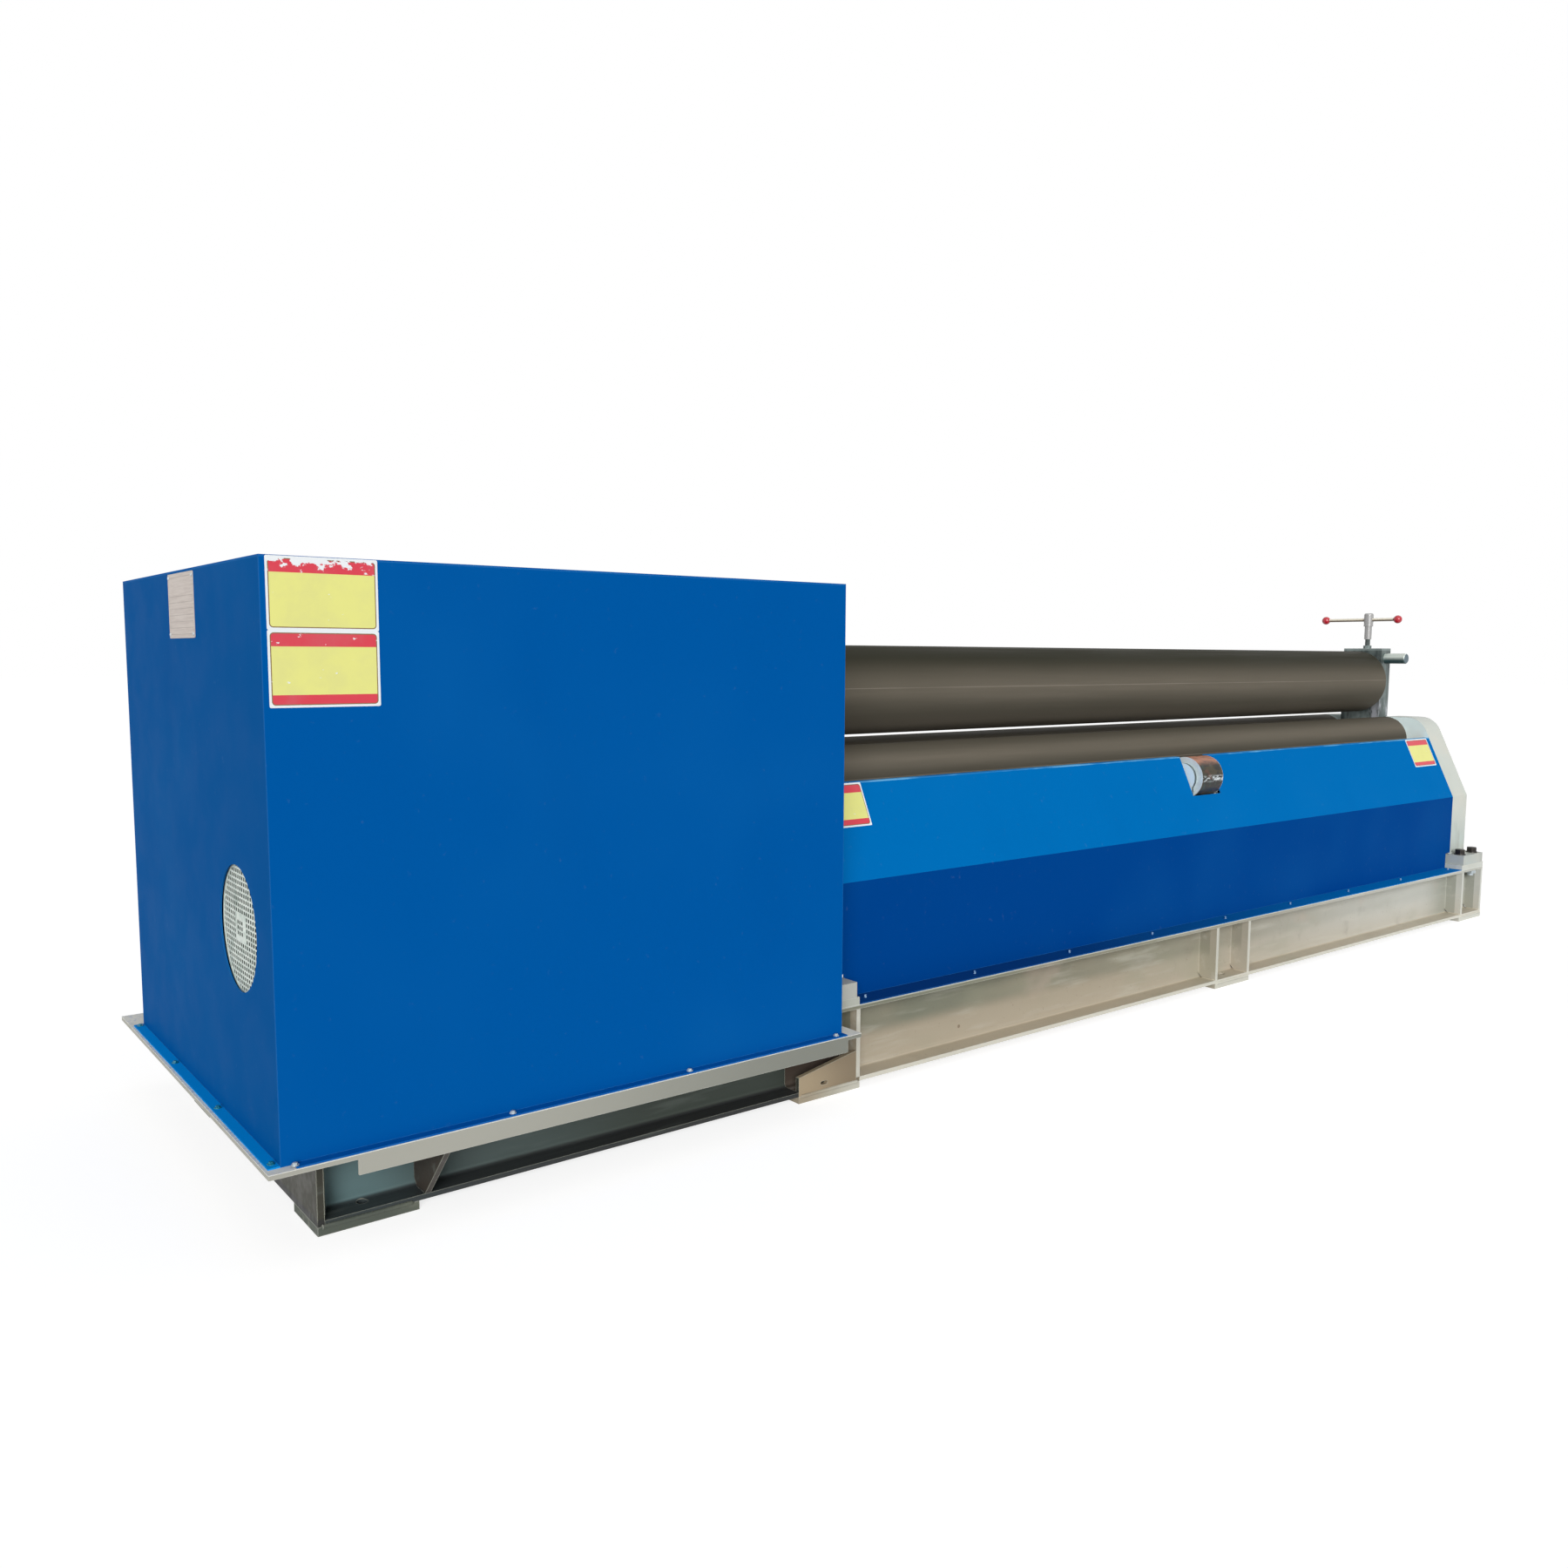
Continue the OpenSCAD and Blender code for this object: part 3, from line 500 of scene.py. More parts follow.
def drive_primer(name, colour, near_end):
    """Grey-green primer of the drive end, oily and in another tone near its left end. Further along, the
    deck's shadow is painted on it, and painted shade fades across the gusset plates.
    """
    shader = new_shader(name)
    noise = shader.noise
    x, _, z = shader.axes()
    start, join = low("drive_rail_front").x, low("bed_rail_front").x
    # Painted shade across the gusset plates, darker towards their right end under the deck's overhang
    fall = x.between(join, high("gusset_plates").x, 0, 0.55)
    plate = shader.mix(fall, from_srgb(176, 158, 130), from_srgb(92, 80, 66))
    streak = noise(34.0, (0.1, 1, 1), 5.0)
    tone = shader.coats(
        shader.mix(x.between(start + 330 * MM, start + 60 * MM, 0, 0.9), colour, near_end),
        # Painted shadow of the deck, darker further along the drive end
        far=(x.between(start + 350 * MM, start + 800 * MM, 0, 0.75), (62, 66, 58)),
        ledge=(z.between(36 * MM, 30 * MM, 0, 0.85), (46, 46, 48)),
        oil=(noise(7.0, (0.3, 1, 1), 5.0).between(0.5, 0.75, 0, 0.6), (48, 50, 42)),
        rubbed=(streak.between(0.55, 0.78, 0, 0.3), (120, 128, 122)),
        plate=((x > join) * 0.9, plate),
        worn=(shader.edges(3 * MM) * z.between(24 * MM, 34 * MM, 0.15, 0.75), (186, 188, 172)),
    )
    relief = noise(90.0, detail=6.0) + streak
    return shader.finish(tone, streak.levels(0.4, 0.6), relief, 0.4, 0.5, Specular_IOR_Level=0.2)


def frame_paint():
    """Off-white paint brushed on thick frame plate, with a painted blue-green sheen high on the inner faces.
    """
    shader = new_shader("frame_paint")
    noise = shader.noise
    x, _, z = shader.axes()
    inner = (x > LEFT_FRAME.x) * (x < RIGHT_FRAME.x - 64 * MM)
    tone = shader.coats(
        paints().frames,
        # Painted sheen, pale blue-green, high on the inner faces near the rolls
        cool=(inner * z.between(0.55, 0.7), (238, 253, 252)),
        lower=(z.between(0.46, 0.34, 0, 0.6), (180, 186, 180)),
        foot=(z < FOOT_TOP + MM, (174, 175, 168)),
        green=(noise(3.0).between(0.42, 0.7, 0, 0.5), (192, 212, 208)),
        warm=(noise(5.5).between(0.5, 0.75, 0, 0.45), (214, 208, 194)),
        oil=(noise(16.0, (1, 1, 0.3), 6.0).between(0.58, 0.8, 0, 0.35), (150, 148, 136)),
        worn=(shader.edges(3 * MM) * 0.5, (150, 156, 152)),
    )
    brush = noise(70.0, (1, 1, 0.15), 5.0)
    return shader.finish(tone, noise(8.0).levels(0.34, 0.55), brush, 0.3, Specular_IOR_Level=0.4)


def deck_paint():
    """White paint on the deck plate, with blue overspray at its left end and a dull bar below its edge."""
    shader = new_shader("deck_paint")
    noise = shader.noise
    x, _, z = shader.axes()
    start = low("deck_plate").x
    speckle = noise(75.0, detail=6.0, roughness=0.7).between(0.52, 0.62, 0, 0.4)
    along = x.between(start + 300 * MM, HOUSE_HIGH.x)
    bar = shader.mix(along, from_srgb(168, 167, 156), from_srgb(127, 129, 120))
    tone = shader.coats(
        paints().deck,
        # Dust in random patches on the deck
        dusty=(noise(5.0).between(0.5, 0.8, 0, 0.45), (198, 192, 176)),
        overspray=(speckle * x.between(start + 90 * MM, start + 15 * MM), (70, 120, 190)),
        bar=(z < HOUSE_FLOOR - 1.5 * MM, bar),
        worn=(shader.edges(2 * MM) * 0.5, (222, 222, 212)),
    )
    grain = noise(120.0, detail=5.0)
    return shader.finish(tone, noise(11.0).levels(0.4, 0.6), grain, 0.3, Specular_IOR_Level=0.3)


def roll_film():
    """Dark film on the turned barrels, with faint streaks, painted shade at the crown and the belly, and one
    fine painted highlight line along them.
    """
    shader = new_shader("roll_film")
    x, _, z = shader.axes()
    streak = shader.noise(34.0, (0.05, 1, 1), 5.0)
    centre = middle("upper_roll").x
    barrel = abs(x - centre) < high("upper_roll").x - centre - MM
    tone = shader.coats(
        paints().roll_film,
        pale=(streak.between(0.4, 0.7, 0, 0.22), (126, 118, 106)),
        cloud=(shader.noise(3.0, (0.4, 1, 1)).between(0.45, 0.75, 0, 0.25), (84, 80, 68)),
    )
    # Painted shade at the crown: where it starts and ends and how dark it is. Then the same for the belly,
    # where it starts and how dark it is. Heights are in parts of the radius, from the axis up.
    painted_shade_bands = (("upper_roll", 0.05, 0.8, 0.95, -0.02, 0.38), ("front_lower_roll", 0.6, 0.95, 0.4, 0.55, 0.45))
    for node, crown_from, crown_to, crown, belly_from, belly in painted_shade_bands:
        axis, radius = middle(node).z, high(node).z - middle(node).z
        up = (z - axis) / radius
        above = up.between(crown_from, crown_to, 0, crown)
        below = up.between(belly_from, belly_from - 0.42, 0, belly) - up.between(-0.5, -0.85, 0, belly)
        near = abs(up) < 1 + MM / radius
        # Painted highlight: one fine pale line along the barrel
        line = (abs(up - 0.06) < 1.2 * MM / radius) * barrel * streak.between(0.3, 0.6, 0.1, 0.45)
        tone = shader.coats(
            tone,
            # Painted shade at the crown and the belly
            dark=((above + below) * near, (46, 46, 37)),
            line=(line, (150, 142, 130)),
        )
    tone = shader.coats(tone, rubbed=(shader.edges(3 * MM) * 0.4, (150, 144, 132)))
    relief = shader.noise(900.0, (1, 0.02, 0.02), 2.0) + streak * 0.5
    rough = streak.between(0.35, 0.65, 0.42, 0.56)
    return shader.finish(tone, rough, relief, 0.05, 0.3, Specular_IOR_Level=0.02)


def mill_scale():
    """Black scale on a support roller's tread, with heat tints and a painted highlight band round its middle.
    Its end faces are bright.
    """
    shader = new_shader("mill_scale")
    noise = shader.noise
    x, _, z = shader.axes()
    centre = middle("front_support_roller")
    reach = high("front_support_roller").x - centre.x
    patch = noise(38.0, (0.5, 1, 1), 6.0, 0.65)
    top = z.between(centre.z + 40 * MM, centre.z + 62 * MM) * patch.between(0.3, 0.6, 0.25, 0.85)
    glints = noise(120.0, (0.4, 1, 1)).between(0.42, 0.62)
    band = abs(z - centre.z + 1 * MM).between(15 * MM, 3 * MM) * glints
    end = abs(x - centre.x) > reach - 0.6 * MM
    tone = shader.coats(
        paints().mill_scale,
        tint=(patch.between(0.46, 0.62), (74, 68, 54)),
        heat=(noise(22.0, (1, 2, 2)).between(0.6, 0.72, 0, 0.5), (112, 70, 58)),
        green=(noise(31.0, (2, 1, 1)).between(0.58, 0.7, 0, 0.5), (58, 84, 78)),
        rust=(top, (204, 140, 112)),
        # Painted highlight: a bright band round the tread's middle
        rubbed=(band * 0.9, (222, 230, 232)),
        end=(end * patch.between(0.3, 0.7, 0.95, 0.75), (226, 238, 240)),
        bright=(shader.edges(2.5 * MM), (206, 216, 218)),
    )
    shine = {"Metallic": 0.3 - 0.2 * end, "Specular_IOR_Level": 0.25}
    return shader.finish(tone, patch.levels(0.28, 0.5), patch + noise(240.0), 0.25, 0.6, **shine)


def turned_steel(name, colour, along, roughness=0.4, dark_below=None, mottle=1.0):
    """Turned steel with streaks along its axis. Below a height, a film of oil darkens it."""
    shader = new_shader(name)
    stretch = tuple(0.04 if part else 1 for part in along)
    streak = shader.noise(70.0, stretch, 4.0)
    smear = shader.noise(22.0, stretch, 5.0)
    tone = shader.coats(
        colour,
        dull=(smear.between(0.42, 0.7, 0, 0.6 * mottle), (104, 116, 116)),
        glint=(streak.between(0.56, 0.72, 0, 0.7 * mottle), (232, 236, 234)),
    )
    if dark_below is not None:
        film = shader.axes()[2].between(dark_below, dark_below - MM, 0, 0.85)
        tone = shader.coats(tone, film=(film, (44, 54, 52)))
    tone = shader.coats(tone, worn=(shader.edges(1.5 * MM) * 0.5, (214, 218, 216)))
    rings = shader.noise(700.0, tuple(1 if part else 0.03 for part in along), 2.0)
    rough = smear.levels(roughness - 0.08, roughness + 0.08)
    shine = {"Metallic": streak.levels(0.2, 0.4), "Specular_IOR_Level": 0.15}
    return shader.finish(tone, rough, rings, 0.05, **shine)


def bracket_paint():
    """Pale paint on the support rollers' cheeks, with dull greasy rims whose dark is partly painted shade."""
    shader = new_shader("bracket_paint")
    centre = middle("support_brackets").x
    outer, inner = high("support_brackets").x - centre, high("front_support_roller").x - centre + 5 * MM
    across = abs(shader.axes()[0] - centre)
    faces = (across > outer - 0.6 * MM) + (across < inner + 0.6 * MM)
    grease = shader.noise(60.0, detail=5.0, roughness=0.65)
    # The rims' dark is grease and, in part, painted shade
    rim = shader.mix(grease.between(0.4, 0.65), from_srgb(92, 106, 108), from_srgb(42, 50, 52))
    face = shader.mix(grease.between(0.5, 0.8, 0, 0.3), from_srgb(222, 236, 236), from_srgb(178, 200, 200))
    return shader.finish(shader.mix(faces.smaller(1), rim, face), grease.levels(0.4, 0.55), grease, 0.2)


def bar_steel(name, node, above, underside, cap):
    """Drawn bar lying along Y, with painted light above and painted shade below, and streaks along it."""
    shader = new_shader(name)
    _, y, z = shader.axes()
    axis, radius = middle(node).z, high(node).z - middle(node).z
    streak = shader.noise(90.0, (1, 0.03, 1), 4.0)
    # Painted light above the axis and painted shade below it
    below = z.between(axis + 0.45 * radius, axis - 0.5 * radius)
    tone = shader.coats(
        shader.mix(below, from_srgb(*above), from_srgb(*underside)),
        streak=(streak.between(0.5, 0.7, 0, 0.3), (140, 156, 156)),
        cap=(y < low(node).y + 0.6 * MM, cap),
        worn=(shader.edges(1.5 * MM) * 0.5, (206, 214, 212)),
    )
    shine = {"Metallic": streak.levels(0.1, 0.3), "Specular_IOR_Level": 0.15}
    return shader.finish(tone, streak.levels(0.34, 0.46), streak, 0.05, **shine)


def oiled_steel():
    """Dark machined steel with a film of oil and upright streaks, rubbed low on the tipping bearing."""
    shader = new_shader("oiled_steel")
    noise = shader.noise
    _, y, z = shader.axes()
    head = high("tipping_bearing").z
    streak = noise(60.0, (1, 1, 0.05), 6.0, 0.6)
    patch = noise(9.0, detail=5.0)
    low_down = z.between(head - 0.21, head - 0.27) * y.between(-20 * MM, -50 * MM)
    smears = noise(26.0, (1, 1, 0.3), 5.0, 0.65).between(0.46, 0.6)
    tone = shader.coats(
        paints().oiled,
        dark=(streak.between(0.42, 0.66, 0, 0.8), (50, 58, 58)),
        pale=(patch.between(0.55, 0.72, 0, 0.6), (150, 160, 158)),
        rubbed=(low_down * smears * 0.85, (204, 206, 214)),
        head=((z > head - 9 * MM) * (z < head + MM) * 0.6, (150, 162, 160)),
        worn=(shader.edges(2 * MM) * 0.7, (176, 186, 184)),
    )
    return shader.finish(tone, patch.levels(0.28, 0.5), streak, 0.15, 0.5, Metallic=0.55)


def blacked_steel():
    """Blacked bolts, with rubbed corners."""
    shader = new_shader("blacked_steel")
    patch = shader.noise(180.0, detail=4.0)
    tone = shader.coats(
        paints().blacked,
        brown=(patch.between(0.5, 0.7, 0, 0.4), (74, 66, 58)),
        worn=(shader.edges(1.2 * MM) * 0.5, (120, 118, 112)),
    )
    return shader.finish(tone, patch.levels(0.3, 0.5), patch, 0.1, Metallic=0.5)


def painted_screw(name, paint, rubbed):
    """Paint on screws that were sprayed with their sheet, rubbed in patches."""
    shader = new_shader(name)
    patch = shader.noise(300.0)
    tone = shader.coats(from_srgb(*paint), rubbed=(patch.between(0.4, 0.65), rubbed))
    return shader.finish(tone, patch.levels(0.3, 0.45), patch, 0.1)


def knob_plastic():
    """Glossy red plastic, scuffed a little."""
    shader = new_shader("knob_plastic")
    scuff = shader.noise(120.0, detail=6.0, roughness=0.7)
    tone = shader.coats(paints().knob, scuffs=(scuff.between(0.55, 0.75, 0, 0.35), (214, 90, 96)))
    rough = scuff.between(0.35, 0.7, 0.16, 0.34)
    return shader.finish(tone, rough, scuff, 0.05, 0.3, Coat_Weight=0.4, Coat_Roughness=0.1)


def galvanised():
    """Pale zinc coat on the fan cover's pressed sheet, dark behind its face."""
    shader = new_shader("galvanised")
    spangle = shader.noise(45.0, detail=4.0)
    within = shader.axes()[0] > low("motor_fan_cover").x + 2 * MM
    tone = shader.coats(
        from_srgb(222, 230, 222),
        spangle=(spangle.between(0.4, 0.65), (196, 208, 200)),
        dull=(shader.noise(9.0).between(0.55, 0.75, 0, 0.4), (120, 140, 130)),
        # Darker behind the grille's face
        soot=(within * 0.9, (34, 46, 42)),
    )
    shine = {"Metallic": 0.1, "Specular_IOR_Level": 0.1}
    return shader.finish(tone, spangle.levels(0.35, 0.5), spangle, 0.1, **shine)


def motor_enamel():
    """Dark enamel of the motor and its stand."""
    shader = new_shader("motor_enamel")
    dust = shader.noise(26.0, detail=5.0)
    tone = shader.coats(from_srgb(40, 44, 48), dust=(dust.between(0.45, 0.7, 0, 0.6), (84, 84, 80)))
    return shader.finish(tone, dust.levels(0.5, 0.7), dust, 0.2)


def rounded_box(across, up, half_width, half_height, radius):
    """How far a place lies outside a rectangle with round corners, and less than 0 inside it."""
    over = (across - (half_width - radius)).larger(0)
    above = (up - (half_height - radius)).larger(0)
    return (over * over + above * above).root() - radius


def label_print(name, centre, half_width, half_height, head, foot, scuffed):
    """A blank printed label: white edge, coloured head and foot, and a plain field in a thin line."""
    shader = new_shader(name)
    colours, noise = paints(), shader.noise
    x, _, z = shader.axes()
    margin, line, corner = 5 * MM, 0.9 * MM, 6 * MM
    top, bottom = centre.z + half_height, centre.z - half_height
    outside = rounded_box(
        abs(x - centre.x), abs(z - centre.z), half_width - margin, half_height - margin, corner
    )
    band = ((z > top - margin - head) + (z < bottom + margin + foot)).smaller(1)
    fade = noise(14.0, detail=4.0)
    field = shader.coats(colours.label_field, faded=(fade.between(0.4, 0.7, 0, 0.5), (218, 216, 140)))
    ink = shader.coats(colours.label_head, faded=(fade.between(0.45, 0.75, 0, 0.35), (196, 110, 118)))
    near_top = z.between(top - 34 * MM, top - 4 * MM)
    bare = (noise(46.0, (1, 1, 1.6), 5.0, 0.65) + near_top * 0.22 * scuffed).between(0.68, 0.72)
    tone = shader.coats(
        shader.mix(outside < 0, colours.label_base, shader.mix(band, field, ink)),
        outline=(abs(outside) < line, (132, 104, 70)),
        scuffs=(bare, (236, 240, 242)),
    )
    crease = noise(20.0, detail=4.0)
    return shader.finish(tone, fade.levels(0.3, 0.45), crease + bare, 0.3, Specular_IOR_Level=0.35)


def nameplate_metal(centre, half_width, half_height):
    """Etched metal with blank ruled boxes."""
    shader = new_shader("nameplate_metal")
    _, y, z = shader.axes()
    margin, rows = 8 * MM, 9
    half_inner = half_height - margin
    inside = rounded_box(abs(y - centre.y), abs(z - centre.z), half_width - margin, half_inner, 2 * MM)
    row = ((z - (centre.z - half_inner)) / (2 * half_inner / rows)).fraction()
    rules = (abs(row - 0.5) > 0.46) * (inside < 0) * (z < centre.z + 0.45 * half_height)
    border = abs(inside) < 0.6 * MM
    brushed = shader.noise(260.0, (1, 0.05, 1))
    tone = shader.coats(
        paints().plate_metal,
        brushed=(brushed.between(0.35, 0.7, 0, 0.5), (186, 174, 168)),
        etched=((rules + border).smaller(1) * 0.4, (120, 106, 100)),
    )
    shine = {"Metallic": 0.1, "Specular_IOR_Level": 0.1}
    return shader.finish(tone, brushed.levels(0.42, 0.56), brushed, 0.05, **shine)


# ---- bmesh helpers ----


def new_object(name, data):
    """A new object in the scene."""
    made = bpy.data.objects.new(name, data)
    bpy.context.scene.collection.objects.link(made)
    return made


def add_piece(name, bm, material, body="machine", crease=35):
    """Makes a finished object of a bmesh, riding on a body."""
    bmesh.ops.remove_doubles(bm, verts=bm.verts, dist=0.002 * MM)
    bmesh.ops.recalc_face_normals(bm, faces=bm.faces)
    mesh = bpy.data.meshes.new(name)
    bm.to_mesh(mesh)
    bm.free()
    mesh.materials.append(material)
    mesh.shade_smooth()
    mesh.set_sharp_from_angle(angle=math.radians(crease))
    piece = new_object(name, mesh)
    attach(piece, body)
    return piece


def facing(direction, place):
    """A matrix that stands a shape built up along Z at a place, with its Z along a direction."""
    turn = Vector(direction).to_track_quat("Z", "Y").to_matrix().to_4x4()
    return Matrix.Translation(place) @ turn


def add_prism(bm, sides, radius, height, place, direction, chamfer, spin=0.0):
    """Adds a straight prism or cylinder that stands on a place, chamfered at its top."""
    stand = Matrix.Translation(Z * height / 2) @ Matrix.Rotation(spin, 4, "Z")
    made = bmesh.ops.create_cone(
        bm, cap_ends=True, segments=sides, radius1=radius, radius2=radius, depth=height, matrix=stand
    )["verts"]
    top = [v for v in made if v.co.z > height / 2]
    rim = [e for e in bm.edges if e.verts[0] in top and e.verts[1] in top]
    bevelled = bmesh.ops.bevel(
        bm, geom=rim, offset=chamfer, affect="EDGES", segments=2, profile=0.5, material=-1
    )
    made = list({v for v in made if v.is_valid} | set(bevelled["verts"]))
    bmesh.ops.transform(bm, matrix=facing(direction, place), verts=made)


def add_screw(bm, place, rng, slender=False):
    """Adds a hexagon screw head on its washer. A slender one is narrower and stands taller."""
    sizes = bpy.context.scene.roll_fixings
    washer, across, rise = (1 * MM, 0.7, 1.6) if slender else (1.5 * MM, 1, 1)
    add_prism(bm, 20, sizes.screw_washer / 2 * across * across, washer, place, Z, 0.4 * MM)
    seat = Vector(place) + Z * washer
    corner = sizes.screw_flats / math.sqrt(3) * across
    add_prism(bm, 6, corner, sizes.screw_head * rise - washer, seat, Z, 0.6 * MM, rng.random() * TURN)


def add_bead(bm, start, end, radius, rng):
    """Adds a rippled weld bead between two places, its faces turned outwards."""
    pitch = bpy.context.scene.roll_fixings.ripple / 2
    steps = max(4, round((end - start).length / pitch))
    stride = (end - start) / steps
    bead = bmesh.new()
    bmesh.ops.create_circle(bead, cap_ends=True, segments=8, radius=radius, matrix=facing(stride, start))
    last = bmesh.ops.spin(
        bead, geom=bead.edges[:], cent=start, axis=stride, dvec=stride, angle=0, steps=steps, use_merge=False
    )["geom_last"]
    bmesh.ops.contextual_create(bead, geom=[g for g in last if isinstance(g, bmesh.types.BMEdge)])
    swell = [(1.0 if step % 2 else 0.84) * rng.uniform(0.92, 1.08) for step in range(steps + 1)]
    swell[0] = swell[-1] = 0.4
    for vert in bead.verts:
        step = round((vert.co - start).dot(stride) / stride.length_squared)
        centre = start + stride * step
        vert.co = centre + (vert.co - centre) * swell[step]
    bmesh.ops.recalc_face_normals(bead, faces=bead.faces[:])
    mesh = bpy.data.meshes.new("bead")
    bead.to_mesh(mesh)
    bead.free()
    bm.from_mesh(mesh)
    bpy.data.meshes.remove(mesh)


def add_sheet(name, centre, out, up, size, material, corner=3 * MM, thickness=0.3 * MM):
    """Adds a thin piece with round corners that lies on a face."""
    bm = bmesh.new()
    made = bmesh.ops.create_grid(bm, x_segments=1, y_segments=1, size=0.5)["verts"]
    bmesh.ops.scale(bm, vec=(*size, 1), verts=made)
    bmesh.ops.bevel(
        bm, geom=made, offset=corner, affect="VERTICES", segments=5, profile=0.5, material=-1
    )
    raised = bmesh.ops.extrude_face_region(bm, geom=bm.faces[:])["geom"]
    top = [g for g in raised if isinstance(g, bmesh.types.BMVert)]
    bmesh.ops.translate(bm, vec=Z * thickness, verts=top)
    turn = Matrix((up.cross(out), up, out)).transposed().to_4x4()
    place = Matrix.Translation(centre + out * 0.1 * MM)
    bmesh.ops.transform(bm, matrix=place @ turn, verts=bm.verts)
    add_piece(name, bm, material)


def spread(start, end, count):
    """Evenly spaced numbers from start to end."""
    return [start + (end - start) * i / (count - 1) for i in range(count)]


def dress(material, *names):
    """Gives nodes a material."""
    for name in names:
        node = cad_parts[name]
        if not node.data.materials:
            node.data.materials.append(material)
        for slot in node.material_slots:
            slot.material = material


# ---- operators ----


class ROLLS_OT_finishes(bpy.types.Operator):
    """Gives every node of the machine its paint or metal."""

    bl_idname = "rolls.finishes"
    bl_label = "Finishes"
    bl_options = {"REGISTER", "UNDO"}

    def execute(self, context):
        dress(housing_enamel(), "housing_front", "housing_rear", "housing_top")
        dress(housing_end_enamel(), "housing_left_end", "housing_right_end")
        dress(cover_enamel(), "front_cover", "rear_cover")
        dress(bed_primer(), "foot_pads", "bed_rail_front", "bed_rail_rear", "cross_beams")
        dress(bpy.data.materials["bed_primer"], "rail_stiffeners", "packing_plates", "centre_pedestal")
        # The gusset plates' dark primer is painted shade under the deck
        plate, end_plate = from_srgb(66, 60, 54), from_srgb(62, 61, 52)
        dress(drive_primer("gusset_primer", plate, plate), "gusset_plates")
        dress(drive_primer("end_plate_primer", end_plate, from_srgb(58, 57, 49)), "drive_end_beam")
        # Drive rails: dark primer, partly painted shade under the deck, and a painted blue-green sheen near
        # their left end
        under_deck = drive_primer("drive_primer", paints().bed_dark_and_shaded, from_srgb(98, 124, 126))
        dress(under_deck, "drive_rail_front", "drive_rail_rear")
        dress(frame_paint(), "left_frame", "right_frame")
        dress(deck_paint(), "deck_plate")
        dress(roll_film(), "upper_roll", "front_lower_roll", "rear_lower_roll")
        dress(mill_scale(), "front_support_roller", "rear_support_roller")
        dress(bracket_paint(), "support_brackets")
        dress(oiled_steel(), "left_bearing_block", "tip_carriage", "tipping_bearing", "lock_nut")
        dress(motor_enamel(), "motor", "motor_stand")
        dress(knob_plastic(), "ball_knobs")
        bright = paints().turned
        along = turned_steel("turned_steel", bright, X)
        dress(along, "bearing_caps", "support_axles")
        dress(along, "upper_journals", "front_lower_journals", "rear_lower_journals")
        dress(turned_steel("turned_steel_across", bright, Y), "hinge_pin")
        dress(turned_steel("turned_steel_upright", bright, Z), "lift_screws")
        hub = from_srgb(168, 167, 166)
        dress(turned_steel("clamp_screw_steel", hub, Z, 0.35, SLEEVE_FOOT, 0.45), "clamp_screw")
        # Each bar's painted-light top, painted-shade underside and end cap colours
        for name, *levels in (
            ("pull_bar", (206, 214, 206), (62, 86, 88), (100, 116, 124)),
            ("cross_bar", (238, 232, 214), (128, 112, 96), (150, 140, 128)),
        ):
            dress(bar_steel(f"{name}_steel", name, *levels), name)
        return {"FINISHED"}


class ROLLS_OT_housing_screws(bpy.types.Operator):
    """Sets the sheet screws along the housing's foot flanges."""

    bl_idname = "rolls.housing_screws"
    bl_label = "Housing Screws"
    bl_options = {"REGISTER", "UNDO"}

    def execute(self, context):
        sizes = context.scene.roll_fixings
        rng = random.Random(3)
        zinc = turned_steel("screw_zinc", from_srgb(186, 196, 200), Z)
        flange_y = (abs(low("housing_front").y) + HOUSE_HIGH.y) / 2
        flange_x = (low("housing_left_end").x + HOUSE_LOW.x) / 2
        seat = HOUSE_FLOOR + SHEET
        bm = bmesh.new()
        for side in (-1, 1):
            for x in spread(HOUSE_LOW.x + 22 * MM, HOUSE_HIGH.x - 27 * MM, sizes.house_screws):
                add_screw(bm, (x, side * flange_y, seat), rng)
        add_piece("housing_screws", bm, zinc)
        bm = bmesh.new()
        for y in spread(HOUSE_LOW.y + 19 * MM, HOUSE_HIGH.y - 16 * MM, sizes.end_screws):
            add_screw(bm, (flange_x, y, seat), rng)
        paint = painted_screw("painted_screw", (0, 96, 122), (20, 130, 150))
        add_piece("housing_end_screws", bm, paint)
        return {"FINISHED"}


class ROLLS_OT_cover_screws(bpy.types.Operator):
    """Sets the sheet screws along the covers' foot flanges."""

    bl_idname = "rolls.cover_screws"
    bl_label = "Cover Screws"
    bl_options = {"REGISTER", "UNDO"}

    def execute(self, context):
        sizes = context.scene.roll_fixings
        rng = random.Random(5)
        flange_y = (BED_HALF - COVER_FACE) / 2
        bm = bmesh.new()
        for side in (-1, 1):
            for x in spread(COVER_LOW.x + 82 * MM, COVER_HIGH.x - 85 * MM, sizes.cover_screws):
                add_screw(bm, (x, side * flange_y, RAIL_TOP + SHEET), rng, True)
        paint = painted_screw("rubbed_screw", (66, 112, 160), (150, 182, 206))
        add_piece("cover_screws", bm, paint)
        return {"FINISHED"}


